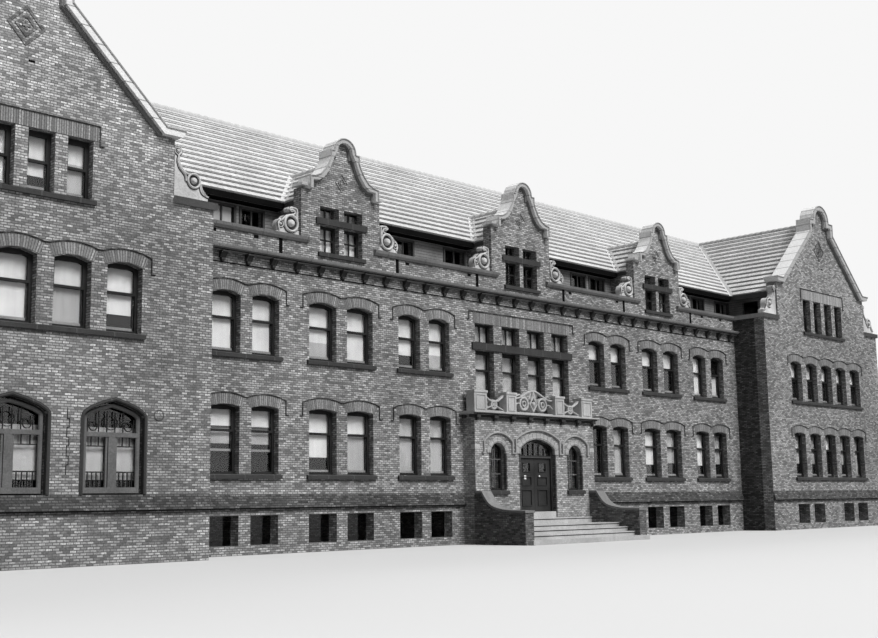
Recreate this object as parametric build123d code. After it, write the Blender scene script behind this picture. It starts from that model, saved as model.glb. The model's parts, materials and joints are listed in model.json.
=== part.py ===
from build123d import *
import math
import os

os.makedirs("parts", exist_ok=True)

# All sizes are millimetres of the half-size model. Heights are above the ground.
# While it is drawn, the main front wall's face is at Y 0 and the back is towards +Y.

# Levels
PLINTH_Z = 690.0
TABLE_TOP = 905.0
GROUND_FLOOR_Z = 815.0
FIRST_FLOOR_Z = 2545.0
ATTIC_FLOOR_Z = 4275.0
FLOOR_T = 125.0
CORNICE_TOP = 4684.0
CORNICE_T = 85.0
PARAPET_TOP = 4971.0
COPING_TOP = 5069.0
SHOULDER_OUT = 45.0
COPING_JOINT = 0.5
EAVE_Z = 5705.0
RIDGE_Z = 7675.0

# Plan
WALL_T = 200.0
WING_CX = 10730.0
WING_HALF = 2952.5
WING_OUT = 820.0
MAIN_HALF = WING_CX - WING_HALF
RIDGE_Y = 2700.0
MAIN_DEPTH = 2 * RIDGE_Y
EAVE_Y = 450.0
EAVE_OVERHANG = 175.0
ROOF_T = 110.0
ATTIC_WALL_T = 125.0
GUTTER_T = 60.0
PITCH = (RIDGE_Z - EAVE_Z) / (RIDGE_Y - EAVE_Y)
WING_EAVE = (RIDGE_Z - EAVE_Z) / PITCH

# Windows
WIN_W = 535.0
WIN_PITCH = 770.0
FRONT_PAIRS = ((2695.0, 748.0, 527.0), (4628.0, 810.0, 580.0), (6572.0, 748.0, 527.0))
BACK_PAIR_PITCH = 1944.0
SIDE_PAIR_PITCH = 1950.0
SILL_T = 75.0
SILL_OUT = 45.0
SILL_SIDE = 50.0
LOW_Z = (1215.0, 2228.0, 2267.0)
UP_Z = (3057.0, 3958.0, 4016.0)
WING_LOW_Z = (1228.0, 2249.0, 2290.0)
TOP_Z = (4790.0, 5603.0)
TOP_W = 372.0
TOP_PITCH = 552.0
CELLAR_Z = (140.0, 590.0)
ATTIC_WIN_Z = (5120.0, 5530.0)
ATTIC_WIN_X = ((960, 1515), (2350, 2825), (2980, 3500), (5800, 6250), (6375, 6850), (6975, 7500), (8000, 8600))
ATTIC_WIN_Y = (-190.0, 255.0)
CENTRE_W = 513.0
CENTRE_PITCH = 744.0
CENTRE_Z = (2640.0, 3540.0)
CENTRE_TOP_Z = (3670.0, 4038.0)
CENTRE_TRANSOM_HALF = 1470.0
HALL_PITCH = 1440.0
HALL_HALF = (450.0, 490.0, 450.0)
HALL_Z = (905.0, 1905.0, 2140.0)
REVEAL = 115.0
FRAME_W = 42.0
FRAME_D = 50.0
PANE_T = 10.0

# Shaped gables on the parapet
DORMER_X = (-4627.5, 0.0, 4627.5)
DORMER_LIFT = (0.0, 75.0, 0.0)
DORMER_HALF = 867.0
DORMER_COPING = 80.0
DORMER_FRONT = 105.0
DORMER_STEP = 735.0
DORMER_HEAD_R = 245.0
KNEELER_HALF = 770.0
KNEELER_Z = 5895.0
DORMER_WIN_HALF = 470.0
DORMER_WIN_Z = (4865.0, 5333.0)
DORMER_TOP_Z = (5438.0, 5645.0)
DORMER_TRANSOM_HALF = 560.0
TRANSOM_OUT = 35.0
DORMER_ROOF_T = 90.0
DORMER_MULLION = 52.5

# Wing gables
WING_GABLE_HALF = 2280.0
WING_GABLE_T = 260.0
WING_COPING = 115.0
WING_COPING_OUT = 110.0
WING_KNEELER_Z = 5905.0
WING_KNEELER_TOP = 6022.0
WING_SLOPE_FOOT = 2090.0
WING_NECK = (610.0, 7411.0)
WING_STEP_Z = 7720.0
WING_HEAD_R = 405.0

# Porch
PORCH_HALF = 1735.0
PORCH_OUT = 285.0
PORCH_TOP = 2310.0
SLAB_T = 60.0
SLAB_OUT = 100.0
DOOR_HALF = 515.0
DOOR_SPRING = 1725.0
DOOR_APEX = 1915.0
TRANSOM_Z = 1550.0
TRANSOM_T = 50.0
THRESHOLD_Z = 550.0
JAMB_W = 55.0
LEAF_T = 30.0
LEAF_BACK_Y = -160.0
LEAF_PANE_Z = (1290.0, 1465.0)
DOOR_GAP = 5.0
PIVOT_R = 4.5
PIVOT_FIT = 0.3
LANCET_X = 1125.0
LANCET_HALF = 215.0
LANCET_Z = (950.0, 1665.0, 1825.0)
PEDESTAL_X = (712.0, 1561.0)
PEDESTAL_W = (275.0, 333.0)
PEDESTAL_TOP = 2755.0
PEDESTAL_D = 200.0
PANEL_T = 70.0

# Steps, from the landing down to the ground
STEP_HALF = 1550.0
STEP_TOPS = (430.0, 325.0, 245.0, 160.0, 80.0)
STEP_FRONTS = (-325.0, -980.0, -1175.0, -1335.0, -1575.0)
STEP_LOW_HALF = 1705.0
CHEEK_T = 225.0
CHEEK_FRONT = -1460.0
CHEEK_TOP = 905.0
CHEEK_LOW = 552.0
PODIUM_BACK = 1200.0

BACK_Y = MAIN_DEPTH + WING_OUT + WING_COPING_OUT
CENTRE_Y = (STEP_FRONTS[-1] + BACK_Y) / 2


def save(name, solids):
    """Move the solids into the centred frame and write one STEP file."""
    flat = [s for item in solids for s in item.solids()]
    moved = [Pos(0, -CENTRE_Y, 0) * s for s in flat]
    export_step(Compound(children=moved), f"parts/{name}.step")


def ring(points, y=0.0):
    """A closed wire through (x, z) points in an upright plane."""
    return Wire.make_polygon([Vector(x, y, z) for x, z in points], close=True)


def plate(outline, holes=(), thick=WALL_T, y=0.0):
    """An upright plate from an outline with holes, from y towards +Y."""
    face = Face(ring(outline, y), [ring(h, y) for h in holes])
    return extrude(face, amount=thick, dir=(0, 1, 0))


def box(x0, x1, y0, y1, z0, z1):
    """A block between two corners."""
    size = (abs(x1 - x0), abs(y1 - y0), abs(z1 - z0))
    return Pos((x0 + x1) / 2, (y0 + y1) / 2, (z0 + z1) / 2) * Box(*size)


def rect(x0, x1, z0, z1):
    """Corner points of a rectangle."""
    return [(x0, z0), (x1, z0), (x1, z1), (x0, z1)]


def flat_light(cx, half, z, inset=0.0):
    """Outline of a flat-headed opening."""
    return rect(cx - half + inset, cx + half - inset, z[0] + inset, z[1] - inset)


def segment_light(cx, half, z, inset=0.0, parts=3):
    """Outline of an opening with a segmental head."""
    half = half - inset
    rise = z[2] - z[1]
    radius = (half * half + rise * rise) / (2 * rise)
    spread = math.asin(half / radius)
    top = z[2] - inset
    points = [(cx - half, z[0] + inset), (cx + half, z[0] + inset)]
    for i in range(parts + 1):
        a = spread * (1 - 2 * i / parts)
        points.append((cx + radius * math.sin(a), top - radius + radius * math.cos(a)))
    return points


def tudor_light(cx, half, z, inset=0.0):
    """Outline of an opening with a four-centred head."""
    half = half - inset
    rise = z[2] - z[1] - inset * 0.4
    points = [(cx - half, z[0] + inset), (cx + half, z[0] + inset)]
    shape = ((1.0, 0.0), (0.93, 0.28), (0.74, 0.52), (0.4, 0.78), (0.0, 1.0))
    points += [(cx + half * u, z[1] + rise * v) for u, v in shape]
    points += [(cx - half * u, z[1] + rise * v) for u, v in shape[-2::-1]]
    return points


def pair_row(centres, z, kind="flat", pitch=WIN_PITCH, width=WIN_W):
    """Windows in pairs: a list of (kind, centre, half width, heights)."""
    row = []
    for c in centres:
        row += [(kind, c + s * pitch / 2, width / 2, z) for s in (-1, 1)]
    return row


def front_row(z):
    """The paired windows of one storey of the main front."""
    row = []
    for c, pitch, width in FRONT_PAIRS:
        row += pair_row((-c, c), z, "segment", pitch, width)
    return row


def even_row(kind, cx, count, pitch, half, z):
    """Evenly spaced openings around a centre."""
    first = cx - pitch * (count - 1) / 2
    return [(kind, first + i * pitch, half, z) for i in range(count)]


def outline_of(opening, inset=0.0):
    """Outline points of an opening description."""
    kind, cx, half, z = opening
    shapes = {"flat": flat_light, "segment": segment_light, "tudor": tudor_light}
    return shapes[kind](cx, half, z, inset)


def frame_of(opening, y=REVEAL, depth=FRAME_D, width=FRAME_W):
    """The fixed frame round one opening."""
    return plate(outline_of(opening), [outline_of(opening, width)], depth, y)


def pane_of(opening, y=REVEAL + 20, width=FRAME_W):
    """The sheet of glass inside one frame."""
    return plate(outline_of(opening, width), (), PANE_T, y)


def sill_of(x0, x1, z, out=SILL_OUT, side=SILL_SIDE):
    """A stone sill under openings from x0 to x1, with a sloped top edge."""
    profile = [(-out, z - SILL_T), (0, z - SILL_T), (0, z), (-out, z - 18)]
    face = Face(Wire.make_polygon([Vector(x0 - side, y, h) for y, h in profile], close=True))
    return extrude(face, amount=x1 - x0 + 2 * side, dir=(1, 0, 0))


def along_x(profile, x0, x1):
    """Extrude a (y, z) profile along X."""
    face = Face(Wire.make_polygon([Vector(x0, y, z) for y, z in profile], close=True))
    return extrude(face, amount=x1 - x0, dir=(1, 0, 0))


def along_y(profile, y0, y1):
    """Extrude an (x, z) profile along Y."""
    return plate(profile, (), y1 - y0, y0)


def mirrored(solids):
    """The same solids on the other side of the entrance axis."""
    return [mirror(s, Plane.YZ) for s in solids]


def to_back(solid):
    """Turn something drawn on the front so that it stands on the back."""
    return Pos(0, MAIN_DEPTH, 0) * Rot(0, 0, 180) * solid


def to_wing(side, y=-WING_OUT):
    """Location of a wing front's own axis."""
    return Pos(side * WING_CX, y, 0)


def to_side(side):
    """Location that turns a front plate to a wing's outer wall."""
    x = side * (WING_CX + WING_HALF)
    return Pos(x, MAIN_DEPTH / 2, 0) * Rot(0, 0, 90 * side)


# Walls

MAIN_LOW = front_row(LOW_Z)
MAIN_UP = front_row(UP_Z)
MAIN_CELLAR = [("flat", c, h, CELLAR_Z) for _, c, h, _ in MAIN_LOW]
CENTRE_ROW = even_row("flat", 0, 4, CENTRE_PITCH, CENTRE_W / 2, CENTRE_Z)
CENTRE_ROW += even_row("flat", 0, 4, CENTRE_PITCH, CENTRE_W / 2, CENTRE_TOP_Z)
WING_LOW = even_row("segment", 0, 5, WIN_PITCH, WIN_W / 2, WING_LOW_Z)
WING_UP = even_row("segment", 0, 5, WIN_PITCH, WIN_W / 2, UP_Z)
WING_TOP = even_row("flat", 0, 4, TOP_PITCH, TOP_W / 2, TOP_Z)
WING_CELLAR = [o for o in even_row("flat", 0, 5, WIN_PITCH, WIN_W / 2, CELLAR_Z) if o[1] != 0]
HALL_ROW = [("tudor", (i - 1) * HALL_PITCH, half, HALL_Z) for i, half in enumerate(HALL_HALF)]
BACK_CENTRES = [i * BACK_PAIR_PITCH for i in range(-3, 4)]
PLAIN_LOW_Z = (LOW_Z[0], LOW_Z[1])
PLAIN_UP_Z = (UP_Z[0], UP_Z[1])
BACK_LOW = pair_row(BACK_CENTRES, PLAIN_LOW_Z)
BACK_UP = pair_row(BACK_CENTRES, PLAIN_UP_Z)
SIDE_CENTRES = [i * SIDE_PAIR_PITCH for i in (-1, 0, 1)]
SIDE_LOW = pair_row(SIDE_CENTRES, PLAIN_LOW_Z)
SIDE_UP = pair_row(SIDE_CENTRES, PLAIN_UP_Z)
WING_BACK_LOW = even_row("flat", 0, 5, WIN_PITCH, WIN_W / 2, PLAIN_LOW_Z)
WING_BACK_UP = even_row("flat", 0, 5, WIN_PITCH, WIN_W / 2, PLAIN_UP_Z)
LANCETS = [("tudor", s * LANCET_X, LANCET_HALF, LANCET_Z) for s in (-1, 1)]
ATTIC_ROW = [("flat", s * (a + b) / 2, (b - a) / 2, ATTIC_WIN_Z) for a, b in ATTIC_WIN_X for s in (-1, 1)]
WALL_SPLIT = FIRST_FLOOR_Z - FLOOR_T


def holes_of(openings):
    """Outlines of several openings."""
    return [outline_of(o) for o in openings]


def main_front_walls():
    """The front wall between the wings, split beside and over the doorway."""
    sides = []
    for s in (-1, 1):
        x0, x1 = sorted((s * DOOR_HALF, s * MAIN_HALF))
        lancet = rect(s * LANCET_X - LANCET_HALF, s * LANCET_X + LANCET_HALF, LANCET_Z[0], LANCET_Z[2])
        inside = [o for o in MAIN_LOW + MAIN_CELLAR if o[1] * s > 0]
        sides.append(plate(rect(x0, x1, 0, WALL_SPLIT), holes_of(inside) + [lancet]))
    tongue = [(-MAIN_HALF, WALL_SPLIT), (-DOOR_HALF, WALL_SPLIT), (-DOOR_HALF, DOOR_APEX)]
    tongue += [(DOOR_HALF, DOOR_APEX), (DOOR_HALF, WALL_SPLIT), (MAIN_HALF, WALL_SPLIT)]
    tongue += [(MAIN_HALF, CORNICE_TOP), (-MAIN_HALF, CORNICE_TOP)]
    upper = plate(tongue, holes_of(MAIN_UP + CENTRE_ROW))
    return sides[0], sides[1], upper


def parapet_pieces():
    """Parapet walls between the shaped gables."""
    edges = [-MAIN_HALF]
    for x in DORMER_X:
        edges += [x - DORMER_HALF, x + DORMER_HALF]
    edges.append(MAIN_HALF)
    return [box(edges[i], edges[i + 1], 0, WALL_T, CORNICE_TOP, PARAPET_TOP) for i in range(0, len(edges), 2)]


def wing_lower_wall(openings):
    """A wing's front or back wall up to the cornice level."""
    holes = holes_of(openings)
    return plate(rect(-WING_HALF, WING_HALF, 0, CORNICE_TOP), holes, WING_GABLE_T)


def wing_gable_points(inset=0.0):
    """Right half of a wing gable's outline from the kneeler up, as (x, z)."""
    x, z = WING_NECK
    if inset:
        points = [(WING_SLOPE_FOOT - inset * 0.38, WING_KNEELER_Z)]
    else:
        points = [(2340.0, WING_KNEELER_Z), (2405.0, WING_KNEELER_Z + 85), (2405.0, WING_KNEELER_TOP)]
        points.append((WING_SLOPE_FOOT, WING_KNEELER_TOP))
    points += [(x - inset, z - inset * 0.43), (x - inset, WING_STEP_Z - inset)]
    points.append((WING_HEAD_R - inset, WING_STEP_Z - inset))
    return points


def half_round(radius, centre, parts=8):
    """The half-round head of a gable, from right to left."""
    turns = [math.pi * i / parts for i in range(parts + 1)]
    return [(radius * math.cos(a), centre + radius * math.sin(a)) for a in turns]


def wing_outline(inset=0.0):
    """The whole outline of a wing gable above its kneelers."""
    right = wing_gable_points(inset)
    head = half_round(WING_HEAD_R - inset, WING_STEP_Z)
    if not inset:
        right = right[:-1]
    return right + head + [(-x, z) for x, z in reversed(right)]


def wing_gable_wall():
    """The brick of a wing gable with its top row of windows and its shoulders."""
    inner = wing_outline(WING_COPING)
    half = WING_GABLE_HALF
    lower = [(-half, PARAPET_TOP), (-WING_HALF, PARAPET_TOP), (-WING_HALF, CORNICE_TOP)]
    lower += [(WING_HALF, CORNICE_TOP), (WING_HALF, PARAPET_TOP), (half, PARAPET_TOP), (half, WING_KNEELER_Z)]
    return plate(lower + inner + [(-half, WING_KNEELER_Z)], holes_of(WING_TOP), WING_GABLE_T)


def wing_gable_coping():
    """The stone coping of a wing gable with kneelers and steps."""
    outer = wing_outline()
    inner = wing_outline(WING_COPING)
    shape = outer + inner[::-1]
    y = -WING_COPING_OUT
    return plate(shape, (), WING_GABLE_T + WING_COPING_OUT, y)


def side_wall():
    """A wing's outer wall, drawn as a front plate round its own middle."""
    half = MAIN_DEPTH / 2 + WING_OUT - WING_GABLE_T
    return plate(rect(-half, half, 0, PARAPET_TOP), holes_of(SIDE_LOW + SIDE_UP))


def return_wall(side, back):
    """The short wall where a wing stands out from the main range."""
    x0, x1 = sorted((side * MAIN_HALF, side * (MAIN_HALF + WALL_T)))
    y0, y1 = -WING_OUT + WING_GABLE_T, WALL_T
    if back:
        y0, y1 = MAIN_DEPTH - y1, MAIN_DEPTH - y0
    return box(x0, x1, y0, y1, 0, PARAPET_TOP)


def attic_wall_back():
    """The plain set-back wall of the far side, trimmed under the wing roofs."""
    y0 = EAVE_Y + EAVE_OVERHANG
    top = EAVE_Z - ROOF_T + PITCH * EAVE_OVERHANG
    half = WING_CX - WING_EAVE + EAVE_OVERHANG
    profile = [(y0, ATTIC_FLOOR_Z), (y0 + ATTIC_WALL_T, ATTIC_FLOOR_Z), (y0 + ATTIC_WALL_T, top), (y0, top)]
    body = along_x(profile, -half, half)
    for s in (-1, 1):
        body -= Pos(s * WING_CX, 0, 0) * along_y(above(WING_EAVE, RIDGE_Z - ROOF_T), -500, RIDGE_Y)
    return body


def attic_wall_front():
    """The set-back wall behind the parapet, under the eaves of the main roof."""
    y0 = EAVE_Y + EAVE_OVERHANG
    y1 = y0 + ATTIC_WALL_T
    top = EAVE_Z - ROOF_T + PITCH * EAVE_OVERHANG
    half = WING_CX - WING_EAVE + EAVE_OVERHANG
    profile = [(y0, ATTIC_FLOOR_Z), (y1, ATTIC_FLOOR_Z), (y1, top + PITCH * ATTIC_WALL_T), (y0, top)]
    body = along_x(profile, -half, half)
    for outline in holes_of(ATTIC_ROW):
        body -= plate(outline, (), 2 * ATTIC_WALL_T, y0 - 50)
    return body


def main_attic_walls():
    """The set-back walls of the main range, trimmed under the wing roofs and open into the gables."""
    front = attic_wall_front()
    inner = DORMER_HALF - ATTIC_WALL_T
    for x in DORMER_X:
        front -= box(x - inner, x + inner, 0, 2 * EAVE_Y, ATTIC_FLOOR_Z - 50, RIDGE_Z)
    for s in (-1, 1):
        over = Pos(s * WING_CX, 0, 0) * along_y(above(WING_EAVE, RIDGE_Z - ROOF_T), -500, RIDGE_Y)
        front -= over
    return [front, to_back(attic_wall_back())]


def gutters():
    """The flat lead gutters between the parapets and the set-back walls, front half."""
    z0, z1 = CORNICE_TOP, CORNICE_TOP + GUTTER_T
    y0 = -WING_OUT + WING_GABLE_T
    wall = EAVE_Y + EAVE_OVERHANG
    inner = WING_CX - WING_EAVE + EAVE_OVERHANG
    front = box(-inner, inner, WALL_T, wall, z0, z1)
    for s in (-1, 1):
        x0, x1 = sorted((s * (MAIN_HALF + WALL_T), s * inner))
        front += box(x0, x1, y0, WALL_T, z0, z1)
    x0 = WING_CX + WING_EAVE - EAVE_OVERHANG
    x1 = WING_CX + WING_HALF - WALL_T
    sides = [box(x0, x1, y0, MAIN_DEPTH - y0, z0, z1)]
    return [front, to_back(front)] + sides + mirrored(sides)


def attic_wall_wing(y0, y1, windows=()):
    """A set-back wall along a wing, outside to the right of its axis."""
    x1 = WING_EAVE - EAVE_OVERHANG
    x0 = x1 - ATTIC_WALL_T
    top = EAVE_Z - ROOF_T + PITCH * EAVE_OVERHANG
    profile = [(x0, ATTIC_FLOOR_Z), (x1, ATTIC_FLOOR_Z), (x1, top), (x0, top + PITCH * ATTIC_WALL_T)]
    body = along_y(profile, y0, y1)
    for a, b in windows:
        body -= box(x0 - 50, x1 + 50, a, b, *ATTIC_WIN_Z)
    return body


# Roofs

def chevron(half, ridge_z, drop=ROOF_T):
    """Cross-section of a pitched roof with open underside."""
    low = ridge_z - half * PITCH
    return [(-half, low), (-half, low - drop), (0, ridge_z - drop), (half, low - drop), (half, low), (0, ridge_z)]


def wedge(half, ridge_z, depth=2500.0):
    """Everything under a roof's outer faces, for cutting."""
    low = ridge_z - half * PITCH
    return [(-half, low), (-half, low - depth), (half, low - depth), (half, low), (0, ridge_z)]


def above(half, ridge_z, height=2500.0):
    """Everything over a roof's underside, for cutting."""
    low = ridge_z - half * PITCH
    return [(-half, low), (0, ridge_z), (half, low), (half, low + height), (-half, low + height)]


def main_roof():
    """The roof of the main range, cut along the valleys."""
    half = RIDGE_Y - EAVE_Y
    profile = [(y + RIDGE_Y, z) for y, z in chevron(half, RIDGE_Z)]
    body = along_x(profile, -WING_CX, WING_CX)
    for side in (-1, 1):
        body -= Pos(side * WING_CX, 0, 0) * along_y(wedge(WING_EAVE, RIDGE_Z), -500, MAIN_DEPTH + 500)
    return body


def wing_roof(side):
    """A wing's roof from gable to gable."""
    y0 = -WING_OUT + WING_GABLE_T
    return Pos(side * WING_CX, 0, 0) * along_y(chevron(WING_EAVE, RIDGE_Z), y0, MAIN_DEPTH - y0)


def dormer_roof(x):
    """The cross roof behind a shaped gable, down to the main roof."""
    ridge = EAVE_Z + DORMER_HALF * PITCH
    profile = [(px + x, z) for px, z in chevron(DORMER_HALF, ridge, DORMER_ROOF_T)]
    body = along_y(profile, WALL_T, RIDGE_Y)
    under = [(y + RIDGE_Y, z) for y, z in wedge(RIDGE_Y - EAVE_Y, RIDGE_Z)]
    return body - along_x(under, x - 1500, x + 1500)


# Shaped gables

def dormer_points(lift=0.0, inset=0.0):
    """Right half of a shaped gable's outline from the kneeler up, as (x, z)."""
    base = KNEELER_Z + lift
    edge = KNEELER_HALF - inset
    points = [(edge, base), (edge, base + 207 - inset * 0.7)]
    points += [(650.0 - inset, base + 227 - inset * 0.9), (537.0 - inset, base + 282 - inset * 0.7)]
    points += [(437.0 - inset, base + 387 - inset * 0.4), (362.0 - inset, base + 512), (325.0 - inset, base + 599)]
    return points


def dormer_outline(lift=0.0, inset=0.0):
    """The whole outline of a shaped gable above its kneelers."""
    right = dormer_points(lift, inset)
    step = KNEELER_Z + lift + DORMER_STEP
    if not inset:
        right.append((325.0, step))
    return right + half_round(DORMER_HEAD_R - inset, step) + [(-x, z) for x, z in reversed(right)]


def dormer_wall(lift):
    """The brick of a shaped gable with its two-light window."""
    half = DORMER_HALF
    base = KNEELER_Z + lift
    lower = [(-half, base), (-half, CORNICE_TOP), (half, CORNICE_TOP), (half, base)]
    lights = []
    inner = DORMER_MULLION
    for s in (-1, 1):
        x0, x1 = sorted((s * inner, s * DORMER_WIN_HALF))
        lights.append(rect(x0, x1, *DORMER_WIN_Z))
        lights.append(rect(x0, x1, *DORMER_TOP_Z))
    return plate(lower + dormer_outline(lift, DORMER_COPING), lights)


def dormer_cheeks():
    """The two side walls between a shaped gable and the set-back wall."""
    under = EAVE_Z - DORMER_ROOF_T
    x0 = DORMER_HALF - ATTIC_WALL_T
    low = CORNICE_TOP + GUTTER_T
    profile = [(x0, low), (DORMER_HALF, low), (DORMER_HALF, under), (x0, under + PITCH * ATTIC_WALL_T)]
    cheek = along_y(profile, WALL_T, EAVE_Y + EAVE_OVERHANG - 2.0)
    over = [(y + RIDGE_Y, z) for y, z in above(RIDGE_Y - EAVE_Y, RIDGE_Z - ROOF_T)]
    cheek -= along_x(over, -DORMER_HALF - 10, DORMER_HALF + 10)
    return [cheek, mirror(cheek, Plane.YZ)]


def dormer_coping(lift):
    """The stone coping of a shaped gable with its kneelers."""
    shape = dormer_outline(lift) + dormer_outline(lift, DORMER_COPING)[::-1]
    coping = plate(shape, (), WALL_T + DORMER_FRONT, -DORMER_FRONT)
    base = KNEELER_Z + lift
    for s in (-1, 1):
        x0, x1 = sorted((s * KNEELER_HALF, s * (KNEELER_HALF + 130)))
        coping += box(x0, x1, -DORMER_FRONT + 40, WALL_T, base + 30, base + 75)
    return coping


# Trim

def dormer_scroll():
    """A scroll block on the coping, drawn to the right of a gable's edge."""
    base = [(0, 0), (470, 0), (470, 35), (455, 60)]
    back = [(455, 150), (400, 215), (300, 245), (190, 275), (125, 320), (115, 360)]
    curl = [(150, 385), (215, 375), (240, 410), (205, 452), (130, 466), (60, 445), (20, 380), (12, 300)]
    return plate(base + back + curl, (), 130, 35)


def wing_scroll():
    """A scroll slab on a wing's shoulder, drawn to the right of the gable's edge."""
    base = [(0, 0), (605, 0), (605, 95), (505, 150)]
    volute = [(512, 225), (480, 310), (400, 350), (320, 325), (290, 275)]
    sweep = [(215, 310), (130, 400), (90, 510), (78, 620), (95, 650), (150, 640), (185, 670)]
    top = [(180, 715), (140, 742), (60, 748), (0, 720)]
    return plate(base + volute + sweep + top, (), 150, 30)


def cornice_front():
    """The moulded cornice between the wings."""
    z = CORNICE_TOP
    profile = [(0, z - CORNICE_T), (-75, z - CORNICE_T), (-110, z - 58), (-150, z - 44), (-160, z - 10), (-160, z), (0, z)]
    return along_x(profile, -MAIN_HALF, MAIN_HALF)


def cornice_brackets(pitch=BACK_PAIR_PITCH / 4, width=110.0):
    """Small blocks under the cornice."""
    count = int(2 * MAIN_HALF // pitch)
    z = CORNICE_TOP - CORNICE_T
    profile = [(0, z - 104), (-35, z - 104), (-110, z), (0, z)]
    first = -pitch * (count - 1) / 2 - width / 2
    return [along_x(profile, first + i * pitch, first + i * pitch + width) for i in range(count)]


def parapet_coping():
    """Stone coping on the parapet, with ends that lap over the gables' faces."""
    lap = 140.0
    edges = [-MAIN_HALF + SHOULDER_OUT + COPING_JOINT]
    for x in DORMER_X:
        edges += [x - DORMER_HALF, x + DORMER_HALF]
    edges.append(MAIN_HALF - SHOULDER_OUT - COPING_JOINT)
    last = len(edges) - 2
    pieces = []
    for i in range(0, len(edges), 2):
        x0, x1 = edges[i], edges[i + 1]
        z = PARAPET_TOP
        front = [(0, z), (-30, z), (-60, z + 40), (-75, COPING_TOP - 12), (0, COPING_TOP)]
        f0 = x0 if i == 0 else x0 - lap
        f1 = x1 if i == last else x1 + lap
        pieces.append(along_x(front, f0, f1) + box(x0, x1, 0, WALL_T + 35, PARAPET_TOP, COPING_TOP))
    return pieces


def wing_parapet_copings():
    """Copings of the shoulders, side walls and returns of the right wing, front half."""
    out = SHOULDER_OUT
    top = COPING_TOP
    low = PARAPET_TOP
    y0 = -WING_OUT
    x0, x1 = WING_GABLE_HALF, WING_HALF
    pieces = []
    for s in (-1, 1):
        a, b = sorted((s * x0, s * (x1 + out)))
        shoulder = box(a, b, y0 - out, y0 + WING_GABLE_T, low, top)
        c, d = sorted((s * (x1 - WALL_T - 35), s * (x1 + out)))
        back = WALL_T if s < 0 else RIDGE_Y - 1.0
        shoulder += box(c, d, y0 + WING_GABLE_T, back, low, top)
        pieces.append(Pos(WING_CX, 0, 0) * shoulder)
    return pieces


def front_sills():
    """Dark stone sills under the windows that face the front."""
    sills = []
    for x, pitch, width in FRONT_PAIRS:
        reach = (pitch + width) / 2
        sills += [sill_of(s * x - reach, s * x + reach, z[0]) for z in (LOW_Z, UP_Z) for s in (-1, 1)]
    row = 2 * WIN_PITCH + WIN_W / 2
    top = (3 * TOP_PITCH + TOP_W) / 2
    for side in (-1, 1):
        sills.append(to_wing(side) * sill_of(-row, row, UP_Z[0]))
        sills.append(to_wing(side) * sill_of(-top, top, TOP_Z[0]))
    sills.append(to_wing(1) * sill_of(-row, row, WING_LOW_Z[0]))
    for x in DORMER_X:
        sills.append(sill_of(x - DORMER_WIN_HALF, x + DORMER_WIN_HALF, DORMER_WIN_Z[0]))
    for s in (-1, 1):
        c = s * LANCET_X
        sills.append(Pos(0, -PORCH_OUT, 0) * sill_of(c - LANCET_HALF, c + LANCET_HALF, LANCET_Z[0]))
    return sills


def transoms():
    """Dark stone bands across the middle window and the gable windows."""
    bands = [box(-CENTRE_TRANSOM_HALF, CENTRE_TRANSOM_HALF, -TRANSOM_OUT, 0, CENTRE_Z[1], CENTRE_TOP_Z[0])]
    for x in DORMER_X:
        x0, x1 = x - DORMER_TRANSOM_HALF, x + DORMER_TRANSOM_HALF
        bands.append(box(x0, x1, -TRANSOM_OUT, 0, DORMER_WIN_Z[1], DORMER_TOP_Z[0]))
    return bands


def table_profile(out=50.0):
    """Cross-section of the sloped plinth course, as (out, z)."""
    return [(0, PLINTH_Z), (-out, PLINTH_Z), (-out, PLINTH_Z + 30), (0, TABLE_TOP)]


def water_table():
    """The sloped plinth course along the fronts of the main range and the wings."""
    pieces = []
    for s in (-1, 1):
        x0, x1 = sorted((s * (PORCH_HALF + 1), s * (MAIN_HALF - 1)))
        pieces.append(along_x(table_profile(), x0, x1))
        pieces.append(to_wing(s) * along_x(table_profile(), -WING_HALF, WING_HALF))
    return pieces


# Porch

def porch_walls():
    """The three pieces of the porch front: beside the doorway and over it."""
    split = DOOR_SPRING
    sides = []
    for s in (-1, 1):
        x0, x1 = sorted((s * DOOR_HALF, s * PORCH_HALF))
        lancet = ("tudor", s * LANCET_X, LANCET_HALF, LANCET_Z)
        sides.append(plate(rect(x0, x1, 0, PORCH_TOP), [outline_of(lancet)], PORCH_OUT, -PORCH_OUT))
    arch = tudor_light(0, DOOR_HALF, (0, split, DOOR_APEX))[2:]
    head = [(-DOOR_HALF, PORCH_TOP), (DOOR_HALF, PORCH_TOP)] + arch
    return sides[0], sides[1], plate(head, (), PORCH_OUT, -PORCH_OUT)


def door_frame():
    """Jambs, transom and arched head of the entrance."""
    outer = tudor_light(0, DOOR_HALF, (THRESHOLD_Z, DOOR_SPRING, DOOR_APEX))
    low = rect(-DOOR_HALF + JAMB_W, DOOR_HALF - JAMB_W, THRESHOLD_Z, TRANSOM_Z)
    fan = tudor_light(0, DOOR_HALF - JAMB_W, (TRANSOM_Z + TRANSOM_T, DOOR_SPRING, DOOR_APEX - JAMB_W))
    body = plate(outer, [fan], 90, LEAF_BACK_Y - 60)
    return body - plate(low, (), 200, LEAF_BACK_Y - 120), fan


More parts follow.
